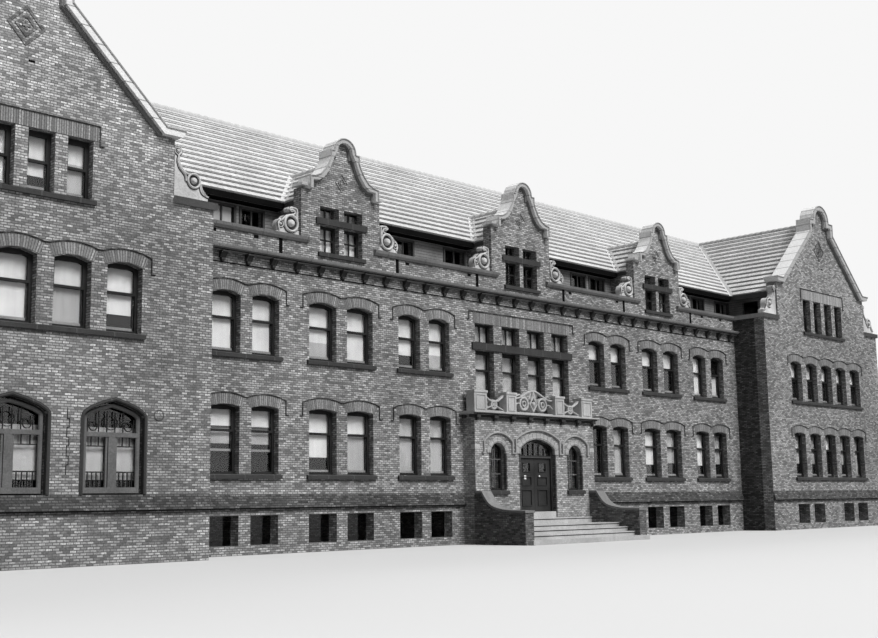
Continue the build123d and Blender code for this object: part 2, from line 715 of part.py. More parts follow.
def door_leaf(side):
    """One leaf of the entrance doors, closed."""
    edge = DOOR_HALF - JAMB_W - DOOR_GAP
    x0, x1 = sorted((side * DOOR_GAP / 2, side * edge))
    z0, z1 = THRESHOLD_Z + DOOR_GAP, TRANSOM_Z - DOOR_GAP
    leaf = box(x0, x1, LEAF_BACK_Y - LEAF_T, LEAF_BACK_Y, z0, z1)
    stile = 85.0
    for low, high in ((z0 + 105, z0 + 410), (z0 + 480, z0 + 650)):
        leaf -= box(x0 + stile, x1 - stile, LEAF_BACK_Y - LEAF_T - 5, LEAF_BACK_Y - LEAF_T + 10, low, high)
    pane_y = LEAF_BACK_Y - LEAF_T
    leaf -= box(x0 + stile + 30, x1 - stile - 30, pane_y - 5, LEAF_BACK_Y + 5, *LEAF_PANE_Z)
    low = THRESHOLD_Z + PIVOT_FIT
    pivot = Pos(side * edge, LEAF_BACK_Y, (low + z0) / 2) * Cylinder(PIVOT_R, z0 - low)
    return leaf + pivot


def door_glass(side):
    """The small pane of one leaf."""
    edge = DOOR_HALF - JAMB_W - DOOR_GAP
    x0, x1 = sorted((side * DOOR_GAP / 2, side * edge))
    return box(x0 + 115, x1 - 115, LEAF_BACK_Y - 20, LEAF_BACK_Y - 12, *LEAF_PANE_Z)


def porch_slab():
    """The balcony's floor slab with a moulded edge, on its brackets."""
    half = PORCH_HALF + SLAB_OUT
    y0 = -PORCH_OUT - SLAB_OUT
    slab = box(-half, half, y0, 0, PORCH_TOP + 20, PORCH_TOP + SLAB_T)
    return slab + box(-half + 35, half - 35, y0 + 35, 0, PORCH_TOP, PORCH_TOP + 20)


def pedestals():
    """The four panelled posts of the balcony."""
    z0 = PORCH_TOP + SLAB_T
    posts = []
    for x, w in zip(PEDESTAL_X, PEDESTAL_W):
        for s in (-1, 1):
            c = s * x
            post = box(c - w / 2, c + w / 2, -PORCH_OUT, -PORCH_OUT + PEDESTAL_D, z0, PEDESTAL_TOP - 40)
            half = w / 2 + 14
            y0, y1 = -PORCH_OUT - 14, -PORCH_OUT + PEDESTAL_D + 14
            posts.append(post + box(c - half, c + half, y0, y1, PEDESTAL_TOP - 40, PEDESTAL_TOP))
    return posts


def panel(x0, x1, crest):
    """A pierced panel between two posts."""
    z0 = PORCH_TOP + SLAB_T
    w = x1 - x0
    m = (x0 + x1) / 2
    top = [(x1, z0 + 300), (x1 - 0.2 * w, z0 + 230), (m, z0 + crest), (x0 + 0.2 * w, z0 + 230), (x0, z0 + 300)]
    holes = []
    for s in (-1, 1):
        c = m + s * w * 0.24
        r = min(62.0, w * 0.15)
        turns = [a * math.pi / 3 for a in range(6)]
        holes.append([(c + r * math.cos(a), z0 + 140 + r * math.sin(a)) for a in turns])
    return plate([(x0, z0), (x1, z0)] + top, holes, PANEL_T, -PORCH_OUT + 60)


def entrance_steps():
    """The flight up to the landing, each tread a solid, the lowest one also before the cheeks."""
    back = -PORCH_OUT
    treads = []
    for top, front in zip(STEP_TOPS, STEP_FRONTS):
        treads.append(box(-STEP_HALF, STEP_HALF, front, back, 0, top))
        back = front
    treads[-1] += box(-STEP_LOW_HALF, STEP_LOW_HALF, STEP_FRONTS[-1], CHEEK_FRONT, 0, STEP_TOPS[-1])
    return treads


def cheek_wall():
    """A brick cheek beside the steps, with a swept top, to the right."""
    x0 = STEP_HALF
    sweep = ((0, CHEEK_TOP), (165, CHEEK_TOP - 5), (205, 845), (255, 770), (335, 688), (435, 632), (560, 597))
    points = [(-PORCH_OUT, 0)] + [(-PORCH_OUT - out, z) for out, z in sweep]
    points += [(-PORCH_OUT - 765, CHEEK_LOW + 13), (CHEEK_FRONT, CHEEK_LOW), (CHEEK_FRONT, 0)]
    return along_x(points, x0, x0 + CHEEK_T)


# Floors

def floors(z):
    """Floor slabs of one storey: main range and both wings."""
    gap = 2.0
    y0 = -WING_OUT + WING_GABLE_T
    half = MAIN_HALF + WALL_T - gap
    main = box(-half, half, WALL_T, MAIN_DEPTH - WALL_T, z - FLOOR_T, z)
    wings = []
    for s in (-1, 1):
        x0, x1 = sorted((s * (MAIN_HALF + WALL_T), s * (WING_CX + WING_HALF - WALL_T)))
        wings.append(box(x0, x1, y0, MAIN_DEPTH - y0, z - FLOOR_T, z))
    return main, wings[0], wings[1]


def window_set(openings, where):
    """Frames and panes of a row, moved to their wall."""
    frames = [where * frame_of(o) for o in openings]
    panes = [where * pane_of(o) for o in openings]
    return frames, panes


def sheet(openings, wall_t):
    """One sheet of glass against a wall's inner face, behind a row of openings."""
    x0 = min(c - h for _, c, h, _ in openings) - 30
    x1 = max(c + h for _, c, h, _ in openings) + 30
    z = openings[0][3]
    return box(x0, x1, wall_t, wall_t + PANE_T, z[0] - 30, z[-1] + 30)


def attic_sheets():
    """The glass of the set-back wall, one sheet for each stretch between the shaped gables."""
    y0 = EAVE_Y + EAVE_OVERHANG + ATTIC_WALL_T
    stretches = {}
    for row in ATTIC_ROW:
        stretches.setdefault(sum(row[1] > x for x in DORMER_X), []).append(row)
    return [Pos(0, y0, 0) * sheet(group, 0.0) for group in stretches.values()]


def other_panes():
    """The glass of the back and the ends, one sheet for each row of windows."""
    sheets = [to_back(sheet(row, WALL_T)) for row in (BACK_LOW, BACK_UP)]
    for s in (-1, 1):
        sheets += [to_side(s) * sheet(row, WALL_T) for row in (SIDE_LOW, SIDE_UP)]
        for row in (WING_BACK_LOW, WING_BACK_UP, WING_TOP, WING_CELLAR):
            sheets.append(to_back(to_wing(s) * sheet(row, WING_GABLE_T)))
    return sheets


def main():
    """Build every piece and write the files."""
    left, right, upper = main_front_walls()
    save("front_wall_left", [left])
    save("front_wall_right", [right])
    save("front_wall_upper", [upper])
    save("parapet_wall", parapet_pieces())
    back_holes = holes_of(BACK_LOW + BACK_UP)
    save("back_wall", [to_back(plate(rect(-MAIN_HALF, MAIN_HALF, 0, PARAPET_TOP), back_holes))])

    save("left_wing_front_wall", [to_wing(-1) * wing_lower_wall(HALL_ROW + WING_UP)])
    save("right_wing_front_wall", [to_wing(1) * wing_lower_wall(WING_LOW + WING_CELLAR + WING_UP)])
    back_wall = wing_lower_wall(WING_BACK_LOW + WING_CELLAR + WING_BACK_UP)
    back = [to_back(to_wing(s) * back_wall) for s in (-1, 1)]
    save("wing_back_walls", back)
    gables = [to_wing(s) * wing_gable_wall() for s in (-1, 1)]
    save("wing_gables", gables + [to_back(g) for g in gables])
    copings = [to_wing(s) * wing_gable_coping() for s in (-1, 1)]
    save("wing_gable_copings", copings + [to_back(c) for c in copings])
    save("side_walls", [to_side(s) * side_wall() for s in (-1, 1)])
    save("wing_return_walls", [return_wall(s, b) for s in (-1, 1) for b in (False, True)])

    y0 = -WING_OUT + WING_GABLE_T
    long_strip = to_wing(1, 0) * attic_wall_wing(y0, MAIN_DEPTH - y0)
    short_end = EAVE_Y + EAVE_OVERHANG - 2.0
    short_strip = to_wing(1, 0) * mirror(attic_wall_wing(y0, short_end, [ATTIC_WIN_Y]), Plane.YZ)
    plain_strip = to_wing(1, 0) * attic_wall_wing(y0, short_end)
    strips = [long_strip, short_strip, mirror(to_back(plain_strip), Plane.YZ)]
    save("attic_walls", main_attic_walls() + strips + mirrored(strips))
    save("gutters", gutters())

    save("main_roof", [main_roof()])
    save("wing_roofs", [wing_roof(s) for s in (-1, 1)])
    save("dormer_roofs", [dormer_roof(x) for x in DORMER_X])
    places = list(zip(DORMER_X, DORMER_LIFT))
    save("dormer_gables", [Pos(x, 0, 0) * dormer_wall(lift) for x, lift in places])
    save("dormer_cheeks", [Pos(x, 0, 0) * c for x in DORMER_X for c in dormer_cheeks()])
    save("dormer_copings", [Pos(x, 0, 0) * dormer_coping(lift) for x, lift in places])

    scroll = dormer_scroll()
    scrolls = []
    for x in DORMER_X:
        scrolls.append(Pos(x + DORMER_HALF, 0, COPING_TOP) * scroll)
        scrolls.append(Pos(x - DORMER_HALF, 0, COPING_TOP) * mirror(scroll, Plane.YZ))
    save("dormer_scrolls", scrolls)
    slab = Pos(WING_GABLE_HALF, 0, COPING_TOP) * wing_scroll()
    save("wing_scrolls", [to_wing(s) * m for s in (-1, 1) for m in (slab, mirror(slab, Plane.YZ))])

    save("cornice", [cornice_front()])
    save("cornice_brackets", cornice_brackets())
    half = MAIN_HALF - SHOULDER_OUT - COPING_JOINT
    back_coping = box(-half, half, -SHOULDER_OUT, WALL_T + 35, PARAPET_TOP, COPING_TOP)
    save("parapet_copings", parapet_coping() + [to_back(back_coping)])
    copings = wing_parapet_copings()
    copings += [to_back(mirror(c, Plane.YZ)) for c in copings]
    save("wing_parapet_copings", copings + mirrored(copings))
    save("sills_and_transoms", front_sills() + transoms())
    save("water_table", water_table())

    porch_left, porch_right, porch_head = porch_walls()
    save("porch_wall_left", [porch_left])
    save("porch_wall_right", [porch_right])
    save("porch_wall_head", [porch_head])
    save("balcony_slab", [porch_slab()])
    save("balcony_posts", pedestals())
    inner = PEDESTAL_X[0] - PEDESTAL_W[0] / 2
    gap0 = PEDESTAL_X[0] + PEDESTAL_W[0] / 2
    gap1 = PEDESTAL_X[1] - PEDESTAL_W[1] / 2
    side_panel = panel(gap0, gap1, 160.0)
    save("balcony_panels", [panel(-inner, inner, 460.0), side_panel, mirror(side_panel, Plane.YZ)])
    frame, fan = door_frame()
    save("entrance_frame", [frame])
    save("entrance_fanlight", [plate(fan, (), 8, LEAF_BACK_Y - 20)])
    save("door_leaf_left", [door_leaf(-1)])
    save("door_leaf_right", [door_leaf(1)])
    save("door_glass_left", [door_glass(-1)])
    save("door_glass_right", [door_glass(1)])
    save("entrance_steps", entrance_steps())
    save("step_cheeks", [cheek_wall(), mirror(cheek_wall(), Plane.YZ)])
    podium = box(-DOOR_HALF, DOOR_HALF, -PORCH_OUT, PODIUM_BACK, 0, THRESHOLD_Z)
    save("entrance_floor", [podium])

    g_main, g_left, g_right = floors(GROUND_FLOOR_Z)
    well = box(-DOOR_HALF, DOOR_HALF, 0, PODIUM_BACK, 0, 3000)
    save("ground_floor", [g_main - well, g_left, g_right])
    b_main, b_left, b_right = floors(FLOOR_T / 2)
    cut = box(-DOOR_HALF, DOOR_HALF, 0, PODIUM_BACK, -100, 500)
    cut += box(-2 * WING_CX, 2 * WING_CX, -WING_OUT, MAIN_DEPTH + WING_OUT, -FLOOR_T, 0)
    save("basement_floor", [b_main - cut, b_left - cut, b_right - cut])
    save("first_floor", list(floors(FIRST_FLOOR_Z)))
    save("attic_floor", list(floors(ATTIC_FLOOR_Z)))

    rows = [
        (MAIN_LOW + MAIN_UP + CENTRE_ROW, Pos(0, 0, 0)),
        (HALL_ROW + WING_UP + WING_TOP, to_wing(-1)),
        (WING_LOW + WING_UP + WING_TOP, to_wing(1)),
    ]
    frames = []
    panes = [sheet([o for o in MAIN_CELLAR if o[1] * s > 0], WALL_T) for s in (-1, 1)]
    panes.append(to_wing(1) * sheet(WING_CELLAR, WING_GABLE_T))
    for openings, where in rows:
        f, p = window_set(openings, where)
        frames += f
        panes += p
    panes += attic_sheets()
    x0 = WING_CX - WING_EAVE + EAVE_OVERHANG + 40
    side_pane = box(x0, x0 + PANE_T, *ATTIC_WIN_Y, *ATTIC_WIN_Z)
    panes += [side_pane] + mirrored([side_pane])
    f, p = window_set(LANCETS, Pos(0, -PORCH_OUT, 0))
    frames += f
    panes += p
    dormer_lights = []
    half = (DORMER_WIN_HALF - DORMER_MULLION) / 2
    for x in DORMER_X:
        for s in (-1, 1):
            centre = x + s * (DORMER_MULLION + half)
            dormer_lights.append(("flat", centre, half, DORMER_WIN_Z))
            panes.append(pane_of(("flat", centre, half, DORMER_TOP_Z), width=0.0))
    f, p = window_set(dormer_lights, Pos(0, 0, 0))
    save("front_window_frames", frames + f)
    save("front_window_panes", panes + p)
    save("other_window_panes", other_panes())


main()
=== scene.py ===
"""Looks of a long brick school with shaped gables, stone scrolls, tiled roofs and a porch."""
import json
import logging
import math
from dataclasses import dataclass
from enum import Enum

import bpy
import numpy as np
from mathutils import Matrix


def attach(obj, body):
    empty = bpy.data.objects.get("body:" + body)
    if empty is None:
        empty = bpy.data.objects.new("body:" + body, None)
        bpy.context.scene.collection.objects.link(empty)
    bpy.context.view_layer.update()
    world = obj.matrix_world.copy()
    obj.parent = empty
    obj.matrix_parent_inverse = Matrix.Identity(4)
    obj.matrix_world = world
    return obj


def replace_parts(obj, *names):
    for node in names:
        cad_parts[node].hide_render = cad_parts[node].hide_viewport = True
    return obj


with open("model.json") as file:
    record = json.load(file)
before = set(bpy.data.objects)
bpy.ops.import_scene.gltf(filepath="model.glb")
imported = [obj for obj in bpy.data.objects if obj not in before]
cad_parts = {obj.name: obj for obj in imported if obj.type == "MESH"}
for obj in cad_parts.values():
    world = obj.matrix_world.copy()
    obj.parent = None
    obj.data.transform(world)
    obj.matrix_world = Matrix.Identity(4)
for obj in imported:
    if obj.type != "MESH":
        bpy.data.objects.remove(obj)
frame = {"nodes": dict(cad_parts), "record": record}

log = logging.getLogger("school")
Point = tuple[float, float]
Spot = tuple[float, float, float]
Socket = bpy.types.NodeSocket

# The finishes that have been made, by name. The frame brings plain materials, some with the same names.
MADE: dict[str, bpy.types.Material] = {}

# The CAD source draws the front at Y 0 and then centres the building, which moves it by this much.
FRONT_Y = -2.3775

# Places in the house's own frame, in metres: the main front is at y 0, and the wings stand out to -Y.
WING_X = 10.73
WING_HALF = 2.9525
WING_OUT = -0.82
WING_GABLE_T = 0.26
DEPTH = 5.4
RIDGE_Y = DEPTH / 2
EAVE_Y = 0.45
EAVE_Z = 5.705
RIDGE_Z = 7.675
PITCH = (RIDGE_Z - EAVE_Z) / (RIDGE_Y - EAVE_Y)
COPING_Z = 5.069
PLINTH_Z = 0.690
DORMER_X = (-4.6275, 0.0, 4.6275)
DORMER_LIFT = (0.0, 0.075, 0.0)
DORMER_HALF = 0.867
SIDE_LIGHT_X = 1.125
ATTIC_WINDOWS = ((0.960, 1.515), (2.350, 2.825), (2.980, 3.500), (5.800, 6.250), (6.375, 6.850),
                 (6.975, 7.500), (8.000, 8.600))
SIDES = (-1, 1)
SINK = 0.004  # how far a raised band goes into the wall that carries it


class Pattern(Enum):
    """Which way a brick pattern runs over a face."""

    WALL = "wall"
    OWN_UV = "own_uv"


class Blind(Enum):
    """What hangs behind a window.

    Each holds a letter and two shares of the window's height from its head: the pale blind ends at
    the first, the grey curtain at the second. LOWER has a pale blind in its lower half instead, and
    RAISED also has its lower sash pushed up.
    """

    FULL = ("F", 1.0, 1.0)
    GREY = ("G", 0.42, 1.0)
    MOST = ("B", 0.76, 0.76)
    MIXED = ("K", 0.70, 1.0)
    SHORT = ("S", 0.0, 0.72)
    UPPER = ("U", 0.40, 0.40)
    LOWER = ("L", 0.0, 0.0)
    RAISED = ("O", 0.36, 0.58)
    DIM = ("M", 0.0, 1.0)
    DARK = ("D", 0.0, 0.0)

    @staticmethod
    def of(letter: str) -> "Blind":
        """The kind that a letter stands for."""
        return next(kind for kind in Blind if kind.value[0] == letter)


def around(middle: float, half: float) -> Point:
    """The range from middle - half to middle + half."""
    return (middle - half, middle + half)


def grey(value: float) -> tuple[float, float, float, float]:
    """A neutral colour of a linear value."""
    return (value, value, value, 1.0)


def put(name: str, data: bpy.types.ID) -> bpy.types.Object:
    """Makes an object of a mesh, lamp or camera and puts it in the scene.

    Args:
        name: The object's name.
        data: What it shows.

    Returns:
        The object.
    """
    made = bpy.data.objects.new(name, data)
    bpy.context.scene.collection.objects.link(made)
    return made


# Paths and cross-sections

def bar(width: float, out: float) -> np.ndarray:
    """Cross-section of a flat raised band."""
    return np.array(((0.0, -SINK), (0.0, out), (width, out), (width, -SINK)))


def mitred_normals(path: np.ndarray, closed: bool) -> np.ndarray:
    """Normals to the left of a path, lengthened at its corners so that bands keep their width.

    Each is (n1 + n2) / (1 + n1 . n2) for the unit normals n1 and n2 of the runs before and after.

    Args:
        path: Array of shape (n, 2).
        closed: The path is a ring.

    Returns:
        Array of shape (n, 2).
    """
    run = np.roll(path, -1, axis=0) - path
    unit = run / np.maximum(np.linalg.norm(run, axis=1, keepdims=True), 1e-9)
    after = np.stack((-unit[:, 1], unit[:, 0]), -1)
    before = np.roll(after, 1, axis=0)
    if not closed:
        after[-1] = before[-1]
        before[0] = after[0]
    dot = np.clip((before * after).sum(axis=1, keepdims=True), -0.5, 1.0)
    return (before + after) / (1.0 + dot)


def arc_points(centre: Point, radius: float, end: float, count: int) -> np.ndarray:
    """Points centre + radius * (cos a, sin a) of an arc, for a from 0 to end degrees."""
    a = np.radians(np.linspace(0.0, end, count))
    return np.stack((centre[0] + radius * np.cos(a), centre[1] + radius * np.sin(a)), -1)


def segment_head(cx: float, half: float, spring: float, crown: float, count: int = 13) -> np.ndarray:
    """A segmental arch from left to right, on the circle through both springings and the crown.

    Args:
        cx: Middle of the arch.
        half: Half its span.
        spring: Height of the springings.
        crown: Height of the crown.
        count: Number of points.

    Returns:
        Array of shape (count, 2).
    """
    rise = crown - spring
    radius = (half * half + rise * rise) / (2 * rise)
    x = np.linspace(-half, half, count)
    return np.stack((cx + x, crown - radius + np.sqrt(radius * radius - x * x)), -1)


def tudor_head(cx: float, half: float, spring: float, apex: float) -> np.ndarray:
    """A four-centred arch from left to right.

    Args:
        cx: Middle of the arch.
        half: Half its span.
        spring: Height of the springings.
        apex: Height of the point.

    Returns:
        Array of shape (11, 2).
    """
    shape = np.array(((1.0, 0.0), (0.985, 0.14), (0.93, 0.28), (0.74, 0.52), (0.4, 0.78), (0.0, 1.0)))
    right = shape * (half, apex - spring)
    return np.concatenate((right[:-1] * (-1.0, 1.0), right[::-1])) + (cx, spring)


def rounded(points: np.ndarray, times: int = 2) -> np.ndarray:
    """An open path with its corners cut: each step puts points at a quarter and three quarters of a run.

    Args:
        points: Array of shape (n, 2).
        times: Number of steps.

    Returns:
        The rounder path.
    """
    for _ in range(times):
        low = 0.75 * points[:-1] + 0.25 * points[1:]
        high = 0.25 * points[:-1] + 0.75 * points[1:]
        inner = np.stack((low, high), 1).reshape(-1, 2)
        points = np.concatenate((points[:1], inner, points[-1:]))
    return points


class Shape:
    """Collects the vertex and face arrays of one piece and turns them into an object."""

    def __init__(self, name: str = "part") -> None:
        """Starts an empty piece.

        Args:
            name: Name of the finished object.
        """
        self.name = name
        self.verts: list[np.ndarray] = []
        self.faces: list[tuple[int, ...]] = []
        self.uvs: list[np.ndarray] = []
        self.count = 0

    def add(self, verts: np.ndarray, faces: list[tuple[int, ...]], uv: np.ndarray | None = None) -> None:
        """Adds vertices and the faces between them.

        Args:
            verts: Points, in metres.
            faces: Faces that count the vertices from 0.
            uv: A (u, v) for each point, or None for zeros.
        """
        verts = verts.reshape(-1, 3)
        self.faces.extend([tuple(self.count + i for i in face) for face in faces])
        self.verts.append(verts)
        self.uvs.append(np.zeros((len(verts), 2)) if uv is None else uv.reshape(-1, 2))
        self.count += len(verts)

    def caps(self, first: np.ndarray, last: np.ndarray) -> None:
        """Closes a tube with a face on its first ring and one, turned round, on its last.

        Args:
            first: First ring.
            last: Last ring.
        """
        ring = tuple(range(len(first)))
        self.add(first, [ring])
        self.add(last, [ring[::-1]])

    def grid(self, points: np.ndarray, wrap_u: bool = False, wrap_v: bool = False,
             uv: np.ndarray | None = None, flip: bool = False) -> None:
        """Adds a surface given on a grid: the quad (i, j) joins points i, i+1 by j, j+1.

        Args:
            points: Array of shape (n, m, 3).
            wrap_u: Closes the surface along the first index.
            wrap_v: Closes the surface along the second index.
            uv: Array of shape (n, m, 2), or None.
            flip: Turns the faces round.
        """
        n, m = points.shape[:2]
        i = np.arange(n if wrap_u else n - 1)[:, None]
        j = np.arange(m if wrap_v else m - 1)[None, :]
        i1, j1 = (i + 1) % n, (j + 1) % m
        corners = np.broadcast_arrays(i * m + j, i1 * m + j, i1 * m + j1, i * m + j1)
        quads = np.stack(corners, -1).reshape(-1, 4)
        self.add(points, (quads[:, ::-1] if flip else quads).tolist(), uv)

    def band(self, path: np.ndarray, profile: np.ndarray, y: float, closed: bool = False,
             flip: bool = False) -> None:
        """Carries a closed profile along a path in the plane of a front wall.

        Each point is path + a * n in the wall's plane and b out of it, where n is the mitred normal
        of the path and (a, b) the profile.

        Args:
            path: Array of shape (n, 2) of (x, z).
            profile: Array of shape (k, 2) of (a, b), going round so that faces point outwards.
            y: Plane of the wall; b goes towards -Y.
            closed: The path is a ring.
            flip: The profile goes round the other way.
        """
        spot = path[:, None, :] + profile[None, :, :1] * mitred_normals(path, closed)[:, None, :]
        out = np.broadcast_to(y - profile[None, :, 1], spot.shape[:2])
        points = np.stack((spot[..., 0], out, spot[..., 1]), -1)
        run = np.concatenate(((0.0,), np.cumsum(np.linalg.norm(np.diff(path, axis=0), axis=1))))
        uv = np.stack(np.broadcast_arrays(run[:, None], profile[None, :, 0]), -1)
        self.grid(points, wrap_u=closed, wrap_v=True, uv=uv, flip=flip)
        if not closed:
            self.caps(*(points[[-1, 0]] if flip else points[[0, -1]]))

    def dome(self, centre: Point, radii: np.ndarray, outs: np.ndarray, y: float, count: int = 16) -> None:
        """Adds a boss on a front face: rings of falling radius, each at its own distance out.

        Args:
            centre: Middle (x, z).
            radii: Radius of each ring, from the rim inwards.
            outs: Distance of each ring out of the face.
            y: Plane of the face.
            count: Points of a ring.
        """
        turn = np.radians(np.arange(count) * 360.0 / count)[:, None]
        x = centre[0] + np.cos(turn) * radii
        z = centre[1] + np.sin(turn) * radii
        points = np.stack((x, np.broadcast_to(y - outs, x.shape), z), -1)
        self.grid(points, wrap_u=True)
        self.caps(points[:, -1], points[:, 0])

    def box(self, x: Point, y: Point, z: Point) -> None:
        """Adds a closed block between two corners."""
        corners = np.stack(np.meshgrid(x, y, z, indexing="ij"), -1)
        self.add(corners, [(0, 1, 3, 2), (4, 6, 7, 5), (0, 4, 5, 1),
                           (2, 3, 7, 6), (0, 2, 6, 4), (1, 5, 7, 3)])

    def include(self, other: "Shape", turn: int = 0, move: Spot = (0.0, 0.0, 0.0),
                flip: bool = False) -> None:
        """Adds a copy of a shape.

        Args:
            other: The shape, or this one itself with flip.
            turn: Quarter turns about Z.
            move: Distance that the copy moves after its turn.
            flip: Takes the mirror image in X first.
        """
        x, y, z = np.concatenate(other.verts).T
        if flip:
            x = -x
        c, s = (1, 0, -1, 0)[turn % 4], (0, 1, 0, -1)[turn % 4]
        verts = np.stack((x * c - y * s, x * s + y * c, z), -1) + move
        faces = [face[::-1] for face in other.faces] if flip else other.faces
        self.add(verts, faces, np.concatenate(other.uvs))

    def build(self, slot: str, finish: str, body: str = "building", smooth: bool = False) -> bpy.types.Object:
        """Makes the object, dresses it and lets it ride on a body.

        Args:
            slot: The record's material slot; not used.
            finish: Name of the material that it wears.
            body: The CAD body that it moves with.
            smooth: Shades the faces smooth up to a fixed angle.

        Returns:
            The finished object.
        """
        mesh = bpy.data.meshes.new(self.name)
        verts = np.concatenate(self.verts) + (0.0, FRONT_Y, 0.0)
        mesh.from_pydata(verts.tolist(), [], self.faces)
        loops = np.empty(len(mesh.loops), dtype=np.int32)
        mesh.loops.foreach_get("vertex_index", loops)
        layer = mesh.uv_layers.new(name="UVMap")
        layer.data.foreach_set("uv", np.concatenate(self.uvs)[loops].astype(np.float32).ravel())
        mesh.materials.append(MADE[finish])
        mesh.update()
        piece = put(self.name, mesh)
        if smooth:
            mesh.shade_smooth()
            mesh.set_sharp_from_angle(angle=math.radians(40))
        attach(piece, body)
        log.info("%s: %d faces", self.name, len(self.faces))
        return piece


# Finishes

class Graph:
    """Short words for building a node tree."""

    def __init__(self, tree: bpy.types.NodeTree) -> None:
        """Takes the tree that gets the nodes."""
        self.tree = tree

    def feed(self, value: object, socket: Socket) -> None:
        """Links a socket to another, or sets it to a constant.

        Args:
            value: A socket or a constant.
            socket: The input that takes it.
        """
        if isinstance(value, Socket):
            self.tree.links.new(value, socket)
        else:
            socket.default_value = value

    def node(self, kind: str, feeds: dict[str | int, object] | None = None, label: str = "",
             **values: object) -> bpy.types.Node:
        """Adds a node.

        Args:
            kind: Blender's type name without its first words.
            feeds: Inputs by name or number, each with a socket or a constant.
            label: Plain words shown on the node.
            **values: Properties of the node.

        Returns:
            The node.
        """
        made = self.tree.nodes.new(f"ShaderNode{kind}")
        made.label = label
        for key, value in values.items():
            setattr(made, key, value)
        for key, value in (feeds or {}).items():
            self.feed(value, made.inputs[key])
        return made

    def calc(self, operation: str, a: object, b: object = 0.0, clamp: bool = False) -> Socket:
        """One arithmetic step on two values."""
        return self.node("Math", {0: a, 1: b}, operation=operation, use_clamp=clamp).outputs[0]

    def blend(self, factor: object, a: object, b: object) -> Socket:
        """Mixes two colours."""
        return self.node("Mix", {0: factor, 6: a, 7: b}, data_type="RGBA").outputs[2]

    def cover(self, mask: Socket, share: float, tone: Socket, value: float) -> Socket:
        """Lays a grey over a colour where a mask is, as a share of it."""
        return self.blend(self.calc("MULTIPLY", mask, share), tone, grey(value))

    def spread(self, value: object, low: float, high: float, to_low: float = 0.0,
               to_high: float = 1.0) -> Socket:
        """Maps a value from one range to another, clamped."""
        return self.node("MapRange", {0: value, 1: low, 2: high, 3: to_low, 4: to_high}).outputs[0]

    def scaled(self, tone: Socket, factor: Socket) -> Socket:
        """A colour times a value."""
        return self.node("VectorMath", {0: tone, "Scale": factor}, operation="SCALE").outputs[0]

    def shaded(self, tone: Socket, value: Socket, at_low: float, at_high: float, low: float = 0.0) -> Socket:
        """A colour times a factor that goes from at_low to at_high while a value goes from low to 1."""
        return self.scaled(tone, self.spread(value, low, 1.0, at_low, at_high))

    def xyz(self, vector: Socket) -> list[Socket]:
        """The three parts of a vector."""
        return list(self.node("SeparateXYZ", {0: vector}).outputs)

    def group(self, name: str, **values: object) -> bpy.types.bpy_prop_collection:
        """Places a shared group, feeds its named inputs and returns its outputs."""
        feeds = {key.replace("_", " "): value for key, value in values.items()}
        return self.node("Group", feeds, node_tree=bpy.data.node_groups[name]).outputs


